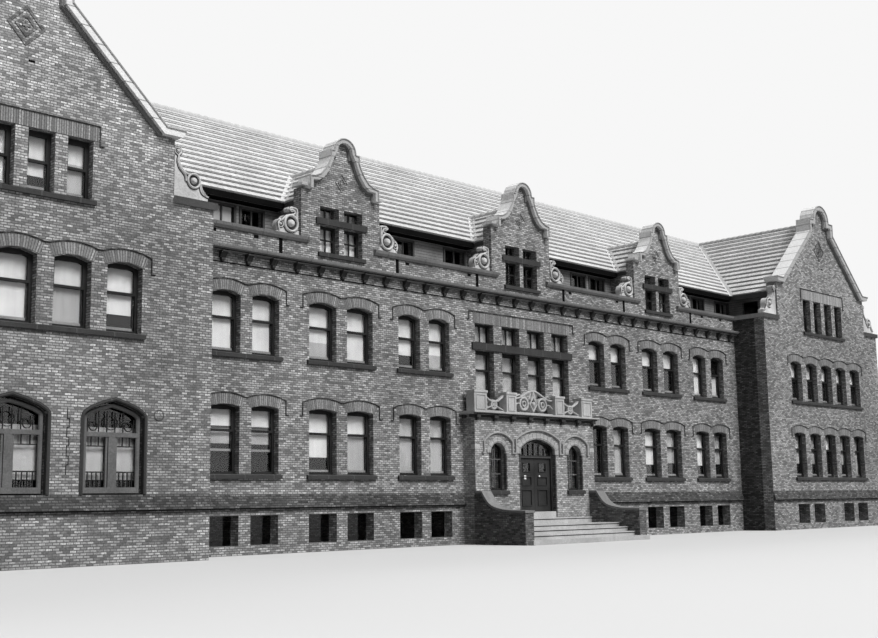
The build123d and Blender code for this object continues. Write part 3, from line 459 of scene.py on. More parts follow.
class Groups:
    """The shader node groups that several finishes share."""

    @staticmethod
    def start(name: str, inputs: dict[str, float | None], outputs: dict[str, float | None]) -> tuple[
            Graph, bpy.types.bpy_prop_collection, bpy.types.bpy_prop_collection]:
        """Makes an empty group; a socket given as None is a vector, and any other a number.

        Args:
            name: The group's name.
            inputs: Sockets with their defaults.
            outputs: Sockets.

        Returns:
            The graph, the sockets that bring its inputs and the sockets that take its outputs.
        """
        tree = bpy.data.node_groups.new(name, "ShaderNodeTree")
        for way, sockets in (("INPUT", inputs), ("OUTPUT", outputs)):
            for key, value in sockets.items():
                kind = "NodeSocketVector" if value is None else "NodeSocketFloat"
                made = tree.interface.new_socket(name=key, in_out=way, socket_type=kind)
                if value:
                    made.default_value = value
        return Graph(tree), tree.nodes.new("NodeGroupInput").outputs, tree.nodes.new("NodeGroupOutput").inputs

    def wall_coordinates(self) -> None:
        """Turns a place and a normal into (along the wall, up, 0), whichever way the wall faces."""
        g, into, out = self.start("wall_coordinates", {"Place": None, "Normal": None}, {"Flat": None})
        x, y, z = g.xyz(into["Place"])
        facing = g.xyz(into["Normal"])
        flat = []
        for k, near in ((0, x), (2, z)):
            turned = g.calc("GREATER_THAN", g.calc("ABSOLUTE", facing[k]), 0.7)
            kept = g.calc("MULTIPLY", near, g.calc("SUBTRACT", 1.0, turned))
            flat.append(g.calc("ADD", kept, g.calc("MULTIPLY", y, turned)))
        g.feed(g.node("CombineXYZ", {0: flat[0], 1: flat[1]}).outputs[0], out["Flat"])

    def brick_field(self) -> None:
        """Bricks in stretcher courses: a random value for each brick and a mask of the joints."""
        g, into, out = self.start(
            "brick_field", {"Flat": None, "Length": 0.105, "Course": 0.035, "Joint": 0.005},
            {"Brick": 0.0, "Joint Mask": 0.0})
        rough = g.node("TexNoise", {"Vector": into["Flat"], "Scale": 60.0}, "uneven edges")
        shift = g.node("VectorMath", {0: rough.outputs["Color"], 1: (0.004, 0.004, 0.0), 2: into["Flat"]},
                       operation="MULTIPLY_ADD")
        bricks = g.node("TexBrick", {
            "Vector": shift.outputs[0], "Color1": grey(0.0), "Color2": grey(1.0), "Mortar": grey(0.5),
            "Scale": 1.0, "Mortar Smooth": 0.3, "Brick Width": into["Length"], "Row Height": into["Course"],
            "Mortar Size": into["Joint"]})
        g.feed(g.node("SeparateColor", {0: bricks.outputs["Color"]}).outputs[0], out["Brick"])
        g.feed(bricks.outputs["Fac"], out["Joint Mask"])

    def weather(self) -> None:
        """Soot and damp: broad clouds, fine specks and streaks that run down."""
        g, into, out = self.start("weather", {"Place": None, "Cloud Scale": 0.8, "Speck Scale": 30.0},
                                  {"Cloud": 0.0, "Specks": 0.0, "Streaks": 0.0})
        squash = g.node("Mapping", {"Vector": into["Place"], "Scale": (6.0, 6.0, 0.5)}, "streaks run down")
        for name, place, scale, detail in (("Cloud", into["Place"], into["Cloud Scale"], 5.0),
                                           ("Specks", into["Place"], into["Speck Scale"], 3.0),
                                           ("Streaks", squash.outputs[0], 1.6, 4.0)):
            noise = g.node("TexNoise", {"Vector": place, "Scale": scale, "Detail": detail}, name.lower())
            g.feed(g.spread(noise.outputs[0], 0.3, 0.7), out[name])

    def slab_joints(self) -> None:
        """Thin lines at even steps of one value, such as the joints between coping slabs."""
        g, into, out = self.start("slab_joints", {"Value": 0.0, "Step": 0.4, "Width": 0.012}, {"Line": 0.0})
        turn = g.calc("FRACT", g.calc("DIVIDE", into["Value"], into["Step"]))
        away = g.calc("MULTIPLY", g.calc("MINIMUM", turn, g.calc("SUBTRACT", 1.0, turn)), into["Step"])
        line = g.calc("SUBTRACT", 1.0, g.calc("DIVIDE", away, into["Width"], clamp=True), clamp=True)
        g.feed(line, out["Line"])

    def build(self) -> None:
        """Builds every group once."""
        for make in (self.wall_coordinates, self.brick_field, self.weather, self.slab_joints):
            make()


class Finish:
    """Base of the finishes: a material with a Principled surface and the shared groups at hand."""

    name: str
    roughness: float

    def open(self, cloud: float, speck: float) -> tuple[
            Graph, dict[str, Socket], bpy.types.bpy_prop_collection, bpy.types.bpy_prop_collection]:
        """Starts the material.

        Args:
            cloud: Scale of the clouds of dirt.
            speck: Scale of the specks.

        Returns:
            The graph, the inputs of its Principled node, the texture coordinates and the dirt.
        """
        material = MADE[self.name] = bpy.data.materials.new(self.name)
        material.use_nodes = True
        material.node_tree.nodes.clear()
        g = Graph(material.node_tree)
        surface = g.node("BsdfPrincipled", {"Roughness": self.roughness, "Specular IOR Level": 0.15})
        g.node("OutputMaterial", {0: surface.outputs[0]})
        place = g.node("TexCoord").outputs
        return g, surface.inputs, place, g.group("weather", Place=place["Object"], Cloud_Scale=cloud,
                                                 Speck_Scale=speck)

    @staticmethod
    def close(g: Graph, surface: dict[str, Socket], tone: object, height: Socket, depth: float,
              strength: float = 1.0) -> None:
        """Gives the surface its colour and its relief.

        Args:
            g: The material's graph.
            surface: Inputs of the Principled node.
            tone: The colour.
            height: Height of the relief, as a share of its depth.
            depth: Depth of the relief, in metres.
            strength: Share of the relief that shows.
        """
        bump = g.node("Bump", {"Strength": strength, "Distance": depth, "Height": height})
        g.feed(tone, surface["Base Color"])
        g.feed(bump.outputs[0], surface["Normal"])


@dataclass(frozen=True)
class BrickFinish(Finish):
    """Rough common brick with uneven colour, dark joints and here and there a white brick.

    The wall pattern grows paler between two given heights, more so on the left wing.
    """

    name: str
    dark: float = 0.15
    light: float = 0.46
    mortar: float = 0.10
    white: float = 0.6
    length: float = 0.095
    course: float = 0.035
    joint: float = 0.006
    pattern: Pattern = Pattern.WALL
    paler_heights: Point = (4.6, 7.0)
    roughness: float = 0.92

    def make(self) -> None:
        """Builds the material."""
        g, surface, place, dirt = self.open(0.8, 40.0)
        spot = place["UV"]
        if self.pattern is Pattern.WALL:
            normal = g.node("NewGeometry").outputs["True Normal"]
            spot = g.group("wall_coordinates", Place=place["Object"], Normal=normal)["Flat"]
        bricks = g.group("brick_field", Flat=spot, Length=self.length, Course=self.course, Joint=self.joint)
        tone = g.blend(g.spread(bricks["Brick"], 0.05, 0.95), grey(self.dark), grey(self.light))
        pale = g.calc("MULTIPLY", g.calc("GREATER_THAN", bricks["Brick"], 0.88),
                      g.spread(dirt["Specks"], 0.45, 0.65))
        tone = g.cover(pale, 0.7, tone, self.white)
        tone = g.cover(bricks["Joint Mask"], 0.85, tone, self.mortar)
        tone = g.shaded(tone, dirt["Cloud"], 0.8, 1.15)
        tone = g.shaded(tone, dirt["Streaks"], 1.0, 0.86, 0.55)
        tone = g.shaded(tone, dirt["Specks"], 0.72, 1.28)
        if self.pattern is Pattern.WALL:
            x, _, z = g.xyz(place["Object"])
            gain = g.calc("MULTIPLY", g.spread(z, *self.paler_heights), g.spread(x, -9.0, -8.0, 0.7, 0.2))
            tone = g.scaled(tone, g.calc("ADD", gain, 1.0))
        height = g.calc("SUBTRACT", g.calc("MULTIPLY", dirt["Specks"], 0.35), bricks["Joint Mask"])
        self.close(g, surface, tone, height, 0.004)


@dataclass(frozen=True)
class StoneFinish(Finish):
    """Dressed stone with soot in clouds and streaks, and slab joints where a step is given.

    Faces that look to the front or the back get painted shade, so that tops and sides look lit: their
    tone is multiplied by front, or by a second factor on the left wing. Joints cut the axis given by
    along, or 3 for the piece's own u.
    """

    name: str
    clean: float = 0.55
    sooty: float = 0.22
    soot: float = 0.6
    step: float = 0.0
    along: int = 2
    front: float = 1.0
    left_facing_shade: float = 1.0
    roughness: float = 0.85

    def make(self) -> None:
        """Builds the material."""
        g, surface, place, dirt = self.open(1.7, 38.0)
        streaks = g.calc("MULTIPLY", dirt["Streaks"], 0.8)
        mask = g.calc("MULTIPLY", g.calc("MAXIMUM", dirt["Cloud"], streaks), self.soot)
        tone = g.shaded(g.blend(mask, grey(self.clean), grey(self.sooty)), dirt["Specks"], 0.85, 1.1)
        height = dirt["Specks"]
        if self.step:
            value = g.xyz(place["UV" if self.along > 2 else "Object"])[self.along % 3]
            line = g.group("slab_joints", Value=value, Step=self.step)["Line"]
            tone = g.cover(line, 0.75, tone, 0.12)
            height = g.calc("SUBTRACT", height, g.calc("MULTIPLY", line, 2.0))
        # Painted shade: faces that look to the front or the back are darkened by a factor.
        if self.front < 1.0:
            facing = g.xyz(g.node("NewGeometry").outputs["True Normal"])[1]
            level = g.calc("GREATER_THAN", g.calc("ABSOLUTE", facing), 0.75)
            facing_shade = g.spread(g.xyz(place["Object"])[0], -8.1, -7.9, self.left_facing_shade - 1.0, self.front - 1.0)
            tone = g.scaled(tone, g.calc("ADD", g.calc("MULTIPLY", level, facing_shade), 1.0))
        self.close(g, surface, tone, height, 0.0025)


@dataclass(frozen=True)
class PaintFinish(Finish):
    """Painted wood or iron, dull, with faint runs of dirt."""

    name: str
    tone: float = 0.02
    worn: float = 0.06
    roughness: float = 0.55
    shine: float = 0.15

    def make(self) -> None:
        """Builds the material."""
        g, surface, _, dirt = self.open(2.5, 55.0)
        tone = g.blend(g.calc("MULTIPLY", dirt["Cloud"], 0.6), grey(self.tone), grey(self.worn))
        g.feed(g.spread(dirt["Streaks"], 0.0, 1.0, self.roughness - 0.1, self.roughness + 0.15),
               surface["Roughness"])
        g.feed(self.shine, surface["Specular IOR Level"])
        self.close(g, surface, g.shaded(tone, dirt["Specks"], 0.8, 1.2), dirt["Specks"], 0.0006)


@dataclass(frozen=True)
class TileFinish(Finish):
    """Weathered flat tiles: each has its own tone, and a dark band of dirt and painted shade lies under the
    lip of each course.

    It reads the piece's own UV map, u along the eave and v up the slope.
    """

    name: str
    clean: float = 0.68
    stained: float = 0.38
    width: float = 0.13
    course: float = 0.2
    edge: Point = (0.66, 0.78)
    roughness: float = 0.75

    def make(self) -> None:
        """Builds the material."""
        g, surface, place, dirt = self.open(1.1, 26.0)
        tiles = g.group("brick_field", Flat=place["UV"], Length=self.width, Course=self.course, Joint=0.004)
        mottled = g.calc("MULTIPLY", tiles["Brick"], 0.3, clamp=True)
        tone = g.blend(mottled, grey(self.clean), grey(self.stained))
        tone = g.shaded(tone, dirt["Cloud"], 0.85, 1.1)
        tone = g.shaded(tone, dirt["Specks"], 0.85, 1.12)
        # Dirt and painted shade: a dark band in the upper part of each course, under the next course's lip.
        step = g.calc("FRACT", g.calc("DIVIDE", g.xyz(place["UV"])[1], self.course))
        ragged = g.calc("ADD", step, g.calc("MULTIPLY", g.calc("SUBTRACT", dirt["Specks"], 0.5), 0.12))
        tone = g.cover(g.spread(ragged, *self.edge), 0.93, tone, 0.04)
        tone = g.cover(tiles["Joint Mask"], 0.3, tone, 0.12)
        self.close(g, surface, tone, g.calc("SUBTRACT", dirt["Specks"], tiles["Joint Mask"]), 0.003)


@dataclass(frozen=True)
class BlindFinish(Finish):
    """Pale window blind with soft folds."""

    name: str
    tone: float = 0.6
    roughness: float = 0.9

    def make(self) -> None:
        """Builds the material."""
        g, surface, _, dirt = self.open(1.3, 9.0)
        tone = g.blend(dirt["Cloud"], grey(self.tone), grey(self.tone * 0.72))
        self.close(g, surface, g.shaded(tone, dirt["Streaks"], 1.0, 0.88), dirt["Streaks"], 0.004)


@dataclass(frozen=True)
class GlassFinish(Finish):
    """Window glass, slightly wavy; where it is clear, light passes it without a shadow."""

    name: str
    clear: float = 1.0
    tone: float = 0.8
    roughness: float = 0.01

    def make(self) -> None:
        """Builds the material."""
        g, surface, _, dirt = self.open(3.0, 12.0)
        for key, value in (("Transmission Weight", self.clear), ("IOR", 1.45), ("Specular IOR Level", 0.3)):
            g.feed(value, surface[key])
        g.feed(g.spread(dirt["Cloud"], 0.0, 1.0, self.roughness, self.roughness + 0.03), surface["Roughness"])
        self.close(g, surface, grey(self.tone), dirt["Cloud"], 0.001, 0.15)
        if self.clear > 0.0:
            shadow = g.node("LightPath").outputs["Is Shadow Ray"]
            g.feed(g.calc("SUBTRACT", 1.0, shadow), surface["Alpha"])


@dataclass(frozen=True)
class BoardFinish(Finish):
    """Boards laid side by side across an axis, with dark lines between them."""

    name: str
    tone: float = 0.25
    deep: float = 0.12
    width: float = 0.06
    along: int = 1
    roughness: float = 0.7

    def make(self) -> None:
        """Builds the material."""
        g, surface, place, dirt = self.open(1.5, 20.0)
        value = g.xyz(place["Object"])[self.along]
        line = g.group("slab_joints", Value=value, Step=self.width, Width=0.006)["Line"]
        tone = g.cover(line, 0.85, g.blend(dirt["Cloud"], grey(self.tone), grey(self.deep)), 0.01)
        height = g.calc("SUBTRACT", dirt["Specks"], line)
        self.close(g, surface, g.shaded(tone, dirt["Specks"], 0.85, 1.15), height, 0.003)


FINISHES = (
    BrickFinish("common_brick"),
    BrickFinish("porch_brick", dark=0.21, light=0.52, mortar=0.17),
    # Very dark brick for the wings' return walls, which paints the deep shade in that recess.
    BrickFinish("return_wall_shade_brick", dark=0.045, light=0.15, mortar=0.03, white=0.25),
    BrickFinish("arch_brick", 0.18, 0.34, white=0.45, length=0.035, course=0.4, pattern=Pattern.OWN_UV),
    BrickFinish("lintel_brick", 0.28, 0.48, white=0.55, length=0.035, course=0.4, pattern=Pattern.OWN_UV),
    BrickFinish("label_brick", dark=0.05, light=0.15, mortar=0.05, white=0.2),
    BrickFinish("raised_brick", dark=0.06, light=0.2, white=0.3),
    BrickFinish("plinth_slope", dark=0.05, light=0.15, mortar=0.04, white=0.25),
    StoneFinish("pale_stone", clean=0.55, sooty=0.25),
    StoneFinish("arch_stone", clean=0.42, sooty=0.28, step=0.105, along=3),
    StoneFinish("label_stone", clean=0.42, sooty=0.26),
    StoneFinish("carved_stone", clean=0.75, sooty=0.3, soot=0.7),
    # The front factors of these three coping finishes paint shade on their front and back faces.
    StoneFinish("coping_stone", clean=0.92, sooty=0.76, step=0.21, front=0.5, left_facing_shade=0.95),
    StoneFinish("coping_moulding", clean=0.6, sooty=0.4, front=0.7, left_facing_shade=0.95),
    # Dark stone for the bed mouldings, which paints the shade under the gable copings.
    StoneFinish("shaded_bed_moulding", clean=0.24, sooty=0.12),
    StoneFinish("shoulder_stone", clean=0.4, sooty=0.2, front=0.22, left_facing_shade=0.22),
    StoneFinish("ledge_stone", clean=0.25, sooty=0.11, step=0.9, along=0),
    # Dark stone for sills, also worn where dark stone paints shade: brackets, scroll grooves and shadow
    # lines.
    StoneFinish("dark_stone_and_shade", clean=0.06, sooty=0.025, step=0.55, along=0),
    StoneFinish("ridge_tile", clean=0.6, sooty=0.4, soot=0.4),
    TileFinish("weathered_tile"),
    PaintFinish("valley_metal", tone=0.7, worn=0.5, roughness=0.6),
    PaintFinish("sheet_lead", tone=0.16, worn=0.24, roughness=0.6),
    PaintFinish("frame_paint", tone=0.012, worn=0.035),
    PaintFinish("bar_paint", tone=0.10, worn=0.18, roughness=0.6),
    PaintFinish("rail_paint", tone=0.16, worn=0.26, roughness=0.6),
    PaintFinish("door_paint", tone=0.018, worn=0.05, roughness=0.45),
    PaintFinish("door_plate", tone=0.85, worn=0.7, roughness=0.35),
    PaintFinish("grey_paint", tone=0.05, worn=0.10, roughness=0.6),
    # Near-black paint for pieces that paint shade: rooms behind windows, recesses, holes, joints, shadow
    # lines and the eaves boards.
    PaintFinish("painted_shade_black", tone=0.006, worn=0.01, roughness=0.9, shine=0.0),
    BlindFinish("window_blind"),
    BlindFinish("window_curtain", tone=0.34),
    GlassFinish("window_glass"),
    # Near-black panes for the far windows, which paint the shade of the rooms behind them.
    GlassFinish("shaded_room_glass", clear=0.0, tone=0.012, roughness=0.06),
    BoardFinish("attic_boards", tone=0.28, deep=0.15, width=0.055, along=2),
    BoardFinish("floor_boards"),
)

# What the CAD nodes of each material slot wear, and the nodes that wear something else.
SLOT_WEAR = {
    "brick": "common_brick", "pale_stone": "pale_stone", "dark_stone": "dark_stone_and_shade",
    "roof_tile": "ridge_tile", "window_frame": "frame_paint", "glass": "window_glass",
    "door_wood": "door_paint", "floor_boards": "floor_boards", "lead": "sheet_lead",
    "attic_render": "attic_boards",
}
NODE_WEAR = {
    "coping_stone": ("wing_gable_copings", "dormer_copings"), "ledge_stone": ("cornice", "parapet_copings"),
    # The CAD cornice brackets wear dark stone that paints their shade.
    "dark_stone_and_shade": ("cornice_brackets",), "shoulder_stone": ("wing_parapet_copings",),
    # The CAD roofs under the tiles wear dark grey that paints the shade under the tile edges.
    "grey_paint": ("main_roof", "wing_roofs", "dormer_roofs"), "plinth_slope": ("water_table",),
    # The step cheeks wear darker brick, which paints the shade on their inner faces.
    "shaded_room_glass": ("other_window_panes",), "raised_brick": ("step_cheeks",),
    # The return walls wear brick darkened to paint their shade.
    "return_wall_shade_brick": ("wing_return_walls",),
    "porch_brick": ("porch_wall_left", "porch_wall_right", "porch_wall_head"),
}


def dress_frame() -> None:
    """Makes the materials and gives every CAD node the one that it keeps."""
    Groups().build()
    for finish in FINISHES:
        finish.make()
    own = {node: finish for finish, nodes in NODE_WEAR.items() for node in nodes}
    slots = {row["node"]: row["material_slot"] for row in frame["record"]["subparts"]}
    for name, node in frame["nodes"].items():
        for slot in node.material_slots:
            slot.material = MADE[own.get(name, SLOT_WEAR[slots[name]])]


# Windows

@dataclass(frozen=True)
class Opening:
    """One window opening, measured in the house's own frame."""

    x: float
    half: float
    low: float
    spring: float
    crown: float
    face: float = 0.0
    blind: Blind = Blind.DARK
    rail: float = 0.0


@dataclass
class WindowPlan:
    """The rows of windows, as the CAD source spaces them.

    A pair is (middle, pitch, half width). Heights are (foot, springing, crown), or (foot, meeting
    rail, head) where the head is flat. A far side has pairs at a pitch, with so many of them at
    each side of the middle one.
    """

    pitch: float = 0.77
    half: float = 0.2675
    pairs: tuple[Spot, ...] = (
        (-6.572, 0.748, 0.2635), (-4.628, 0.810, 0.29), (-2.695, 0.748, 0.2635),
        (2.695, 0.748, 0.2635), (4.628, 0.810, 0.29), (6.572, 0.748, 0.2635))
    low: Spot = (1.215, 2.228, 2.267)
    up: Spot = (3.057, 3.958, 4.016)
    wing_low: Spot = (1.228, 2.249, 2.290)
    gable: Spot = (4.790, 5.20, 5.603)
    gable_pitch: float = 0.552
    gable_half: float = 0.186
    far_pairs: tuple[tuple[str, float, int], ...] = (("back", 1.944, 3), ("end", 1.95, 1))

    def pair_row(self, z: Spot, rail: float, blinds: str) -> list[Opening]:
        """Windows in pairs along the main front, with one blind letter for each window."""
        spots = [(c + s * pitch / 2, half) for c, pitch, half in self.pairs for s in SIDES]
        return [Opening(x, half, *z, 0.0, Blind.of(b), rail) for (x, half), b in zip(spots, blinds)]

    def wing_row(self, side: int, z: Spot, rail: float, blinds: str) -> list[Opening]:
        """Five even windows on a wing's front."""
        spots = [side * WING_X + i * self.pitch for i in range(-2, 3)]
        return [Opening(x, self.half, *z, WING_OUT, Blind.of(b), rail) for x, b in zip(spots, blinds)]

    @staticmethod
    def flat_row(cx: float, pitch: float, half: float, z: Spot, face: float, blinds: str) -> list[Opening]:
        """Evenly spaced windows with flat heads, one for each blind letter.

        Args:
            cx: Middle of the row.
            pitch: Distance between middles.
            half: Half width of a window.
            z: Heights of the foot, the meeting rail and the head.
            face: Plane of the wall.
            blinds: The letters.

        Returns:
            The openings.
        """
        spots = [cx + (i - (len(blinds) - 1) / 2) * pitch for i in range(len(blinds))]
        return [Opening(x, half, z[0], z[2], z[2], face, Blind.of(b), z[1]) for x, b in zip(spots, blinds)]

    def front(self) -> list[Opening]:
        """Every sash window that faces the front.

        Returns:
            The openings.
        """
        rows = self.pair_row(self.low, 1.87, "OOBGMMDMBSBS") + self.pair_row(self.up, 3.60, "FFKFBKUUUUFL")
        rows += self.wing_row(-1, self.up, 3.60, "FFFGB") + self.wing_row(1, self.up, 3.60, "UUUUU")
        rows += self.wing_row(1, self.wing_low, 1.895, "SSUSM")
        for side, blinds in zip(SIDES, ("FFBG", "UDUD")):
            rows += self.flat_row(side * WING_X, self.gable_pitch, self.gable_half, self.gable, WING_OUT,
                                  blinds)
        return rows + self.flat_row(0.0, 0.744, 0.2565, (2.640, 3.17, 3.540), 0.0, "MMMM")

    def uppers(self) -> list[Opening]:
        """The small lights over the transoms, and the lights of the shaped gables.

        Returns:
            The openings.
        """
        rows = self.flat_row(0.0, 0.744, 0.2565, (3.670, 3.85, 4.038), 0.0, "MMMM")
        for x, upper, lower in zip(DORMER_X, ("MM", "DD", "MD"), ("FF", "DD", "DM")):
            rows += self.flat_row(x, 0.5225, 0.20875, (5.438, 5.54, 5.645), 0.0, upper)
            rows += self.flat_row(x, 0.5225, 0.20875, (4.865, 5.10, 5.333), 0.0, lower)
        return rows

    def far(self) -> dict[str, list[float]]:
        """Middles of one storey's windows on each plain side, drawn as a front.

        Returns:
            The middles by side: back, end and wing.
        """
        rows = {side: [i * pitch + s * self.pitch / 2 for i in range(-count, count + 1) for s in SIDES]
                for side, pitch, count in self.far_pairs}
        rows["wing"] = [i * self.pitch for i in range(-2, 3)]
        return rows


def place_far(out: Shape, parts: dict[str, Shape]) -> None:
    """Puts parts drawn as fronts on the back, the ends and the backs of the wings.

    Args:
        out: The piece that takes them.
        parts: The parts by side: back, end and wing.
    """
    out.include(parts["back"], 2, (0.0, DEPTH, 0.0))
    for s in SIDES:
        out.include(parts["end"], s, (s * (WING_X + WING_HALF), DEPTH / 2, 0.0))
        out.include(parts["wing"], 2, (s * WING_X, DEPTH - WING_OUT, 0.0))


@dataclass
class Sashes:
    """Sliding sashes in the front windows, with a meeting rail and the blinds behind the glass.

    Each value in y is a distance behind the wall's face.
    """

    plan: WindowPlan
    inset: float = 0.04
    stile: float = 0.026
    thick: float = 0.022
    foot_rail: float = 0.036
    head_rail: float = 0.028
    lap: float = 0.014
    upper_y: float = 0.113
    lower_y: float = 0.147
    rail_y: Point = (0.142, 0.168)
    sheet_y: float = 0.178
    room_y: float = 0.190
    sheet_gap: float = 0.03
    sheet_thick: float = 0.004
    raised: float = 0.30

    def __post_init__(self) -> None:
        """Starts the pieces."""
        self.bars, self.rails = Shape("window_sashes"), Shape("pale_rails")
        self.pale, self.dim, self.room_shade = Shape("window_blinds"), Shape("dim_curtains"), Shape("room_shade_sheets")

    def sash(self, o: Opening, low: float, high: float, depth: float) -> None:
        """Stiles and rails of one sash between two heights.

        Args:
            o: The opening.
            low: Foot of the sash.
            high: Its head.
            depth: How far it stands behind the wall's face.
        """
        inner = o.half - self.inset
        y = (o.face + depth, o.face + depth + self.thick)
        for s in SIDES:
            self.bars.box(around(o.x + s * (inner - self.stile / 2), self.stile / 2), y, (low, high))
        for z in ((low, low + self.foot_rail), (high - self.head_rail, high)):
            self.bars.box(around(o.x, inner - self.stile), y, z)

    def sheet(self, shape: Shape, o: Opening, low: float, high: float, depth: float) -> None:
        """A hanging sheet behind the glass."""
        y = (o.face + depth, o.face + depth + self.sheet_thick)
        shape.box(around(o.x, o.half - self.sheet_gap), y, (low, high))

    def window(self, o: Opening) -> None:
        """One window with both sashes and whatever hangs behind them.

        Args:
            o: The opening.
        """
        foot, high = o.low + 0.042, o.crown - 0.01
        lift = self.raised if o.blind is Blind.RAISED else 0.0
        rail = foot + lift
        self.sash(o, o.rail - self.lap, o.crown - 0.045, self.upper_y)
        self.sash(o, rail, o.rail + self.lap + lift * 0.2, self.lower_y)
        near, far = self.rail_y
        self.rails.box(around(o.x, o.half - self.inset - self.stile), (o.face + near, o.face + far),
                       (rail + 0.004, rail + 0.04))
        pale, dim = (high - share * (high - foot) for share in o.blind.value[1:])
        if pale < high:
            self.sheet(self.pale, o, pale, high, self.sheet_y)
        if dim < pale:
            self.sheet(self.dim, o, dim, pale, self.sheet_y)
        if o.blind is Blind.LOWER:
            self.sheet(self.pale, o, foot, o.rail, self.sheet_y)
        # Painted shade: a black sheet deep behind the window stands for the dark room.
        self.sheet(self.room_shade, o, o.low, o.crown, self.room_y)

    def light(self, o: Opening) -> None:
        """A small light with a bar down its middle.

        Args:
            o: The opening.
        """
        foot, head = o.low + 0.03, o.crown - 0.03
        y = (o.face + self.upper_y, o.face + self.upper_y + 0.02)
        self.bars.box(around(o.x, 0.012), y, (foot, head))
        if head - foot > 0.4:
            self.bars.box(around(o.x, o.half - self.inset), y, around(o.rail, self.lap))
        if o.blind is Blind.FULL:
            self.sheet(self.pale, o, foot, head + 0.01, self.sheet_y)
        elif o.blind is not Blind.DARK:
            self.sheet(self.dim, o, foot, head, self.sheet_y)
        # Painted shade: a black sheet deep behind the light stands for the dark room.
        self.sheet(self.room_shade, o, o.low, o.crown, self.room_y)

    def build(self) -> None:
        """Builds the sashes, blinds and curtains, and the black sheets that paint the rooms' shade."""
        for opening in self.plan.front():
            self.window(opening)
        for opening in self.plan.uppers():
            self.light(opening)
        for shape, finish in ((self.bars, "frame_paint"), (self.rails, "rail_paint"),
                              (self.pale, "window_blind"), (self.dim, "window_curtain"),
                              (self.room_shade, "painted_shade_black")):
            shape.build("window_frame", finish)


@dataclass
class OtherWindows:
    """Plain wooden frames with a meeting rail in the windows of the ends and the back, and their sills."""

    plan: WindowPlan
    bar: float = 0.045
    frame_y: Point = (0.08, 0.13)
    rail_y: Point = (0.09, 0.12)
    cellar_z: Point = (0.14, 0.59)
    sill_y: Point = (-0.045, 0.02)
    sill_z: float = 0.075

    def frame(self, shape: Shape, x: float, half: float, z: Point, sashes: bool = True) -> None:
        """One frame in an opening of a wall drawn as a front.

        Args:
            shape: The piece that takes it.
            x: Middle of the opening.
            half: Half its width.
            z: Its foot and head.
            sashes: It has a meeting rail.
        """
        y, clear = self.frame_y, around(x, half - self.bar)
        for s in SIDES:
            shape.box(around(x + s * (half - self.bar / 2), self.bar / 2), y, z)
        shape.box(clear, y, (z[0], z[0] + self.bar))
        shape.box(clear, y, (z[1] - self.bar, z[1]))
        if sashes:
            shape.box(clear, self.rail_y, around((z[0] + z[1]) / 2, 0.02))

    def sill(self, shape: Shape, x: Point, top: float) -> None:
        """One sill under a window or a row of windows."""
        shape.box(x, self.sill_y, (top - self.sill_z, top))

    def build(self) -> None:
        """Builds the frames and the sills."""
        p = self.plan
        frames, sills = ({side: Shape() for side in ("back", "end", "wing")} for _ in range(2))
        for z in (p.low, p.up):
            for side, spots in p.far().items():
                for x in spots:
                    self.frame(frames[side], x, p.half, z[:2])
            for side, pitch, count in p.far_pairs:
                for i in range(-count, count + 1):
                    self.sill(sills[side], around(i * pitch, p.pitch / 2 + p.half + 0.05), z[0])
            self.sill(sills["wing"], (-1.86, 1.86), z[0])
        for top, cellar in zip((-1.5, -0.5, 0.5, 1.5), (-2, -1, 1, 2)):
            self.frame(frames["wing"], top * p.gable_pitch, p.gable_half, (p.gable[0], p.gable[2]))
            self.frame(frames["wing"], cellar * p.pitch, p.half, self.cellar_z, False)
        self.sill(sills["wing"], (-1.07, 1.07), p.gable[0])
        for name, parts, slot, finish in (("other_window_frames", frames, "window_frame", "frame_paint"),
                                          ("other_window_sills", sills, "dark_stone", "dark_stone_and_shade")):
            out = Shape(name)
            place_far(out, parts)
            out.build(slot, finish)


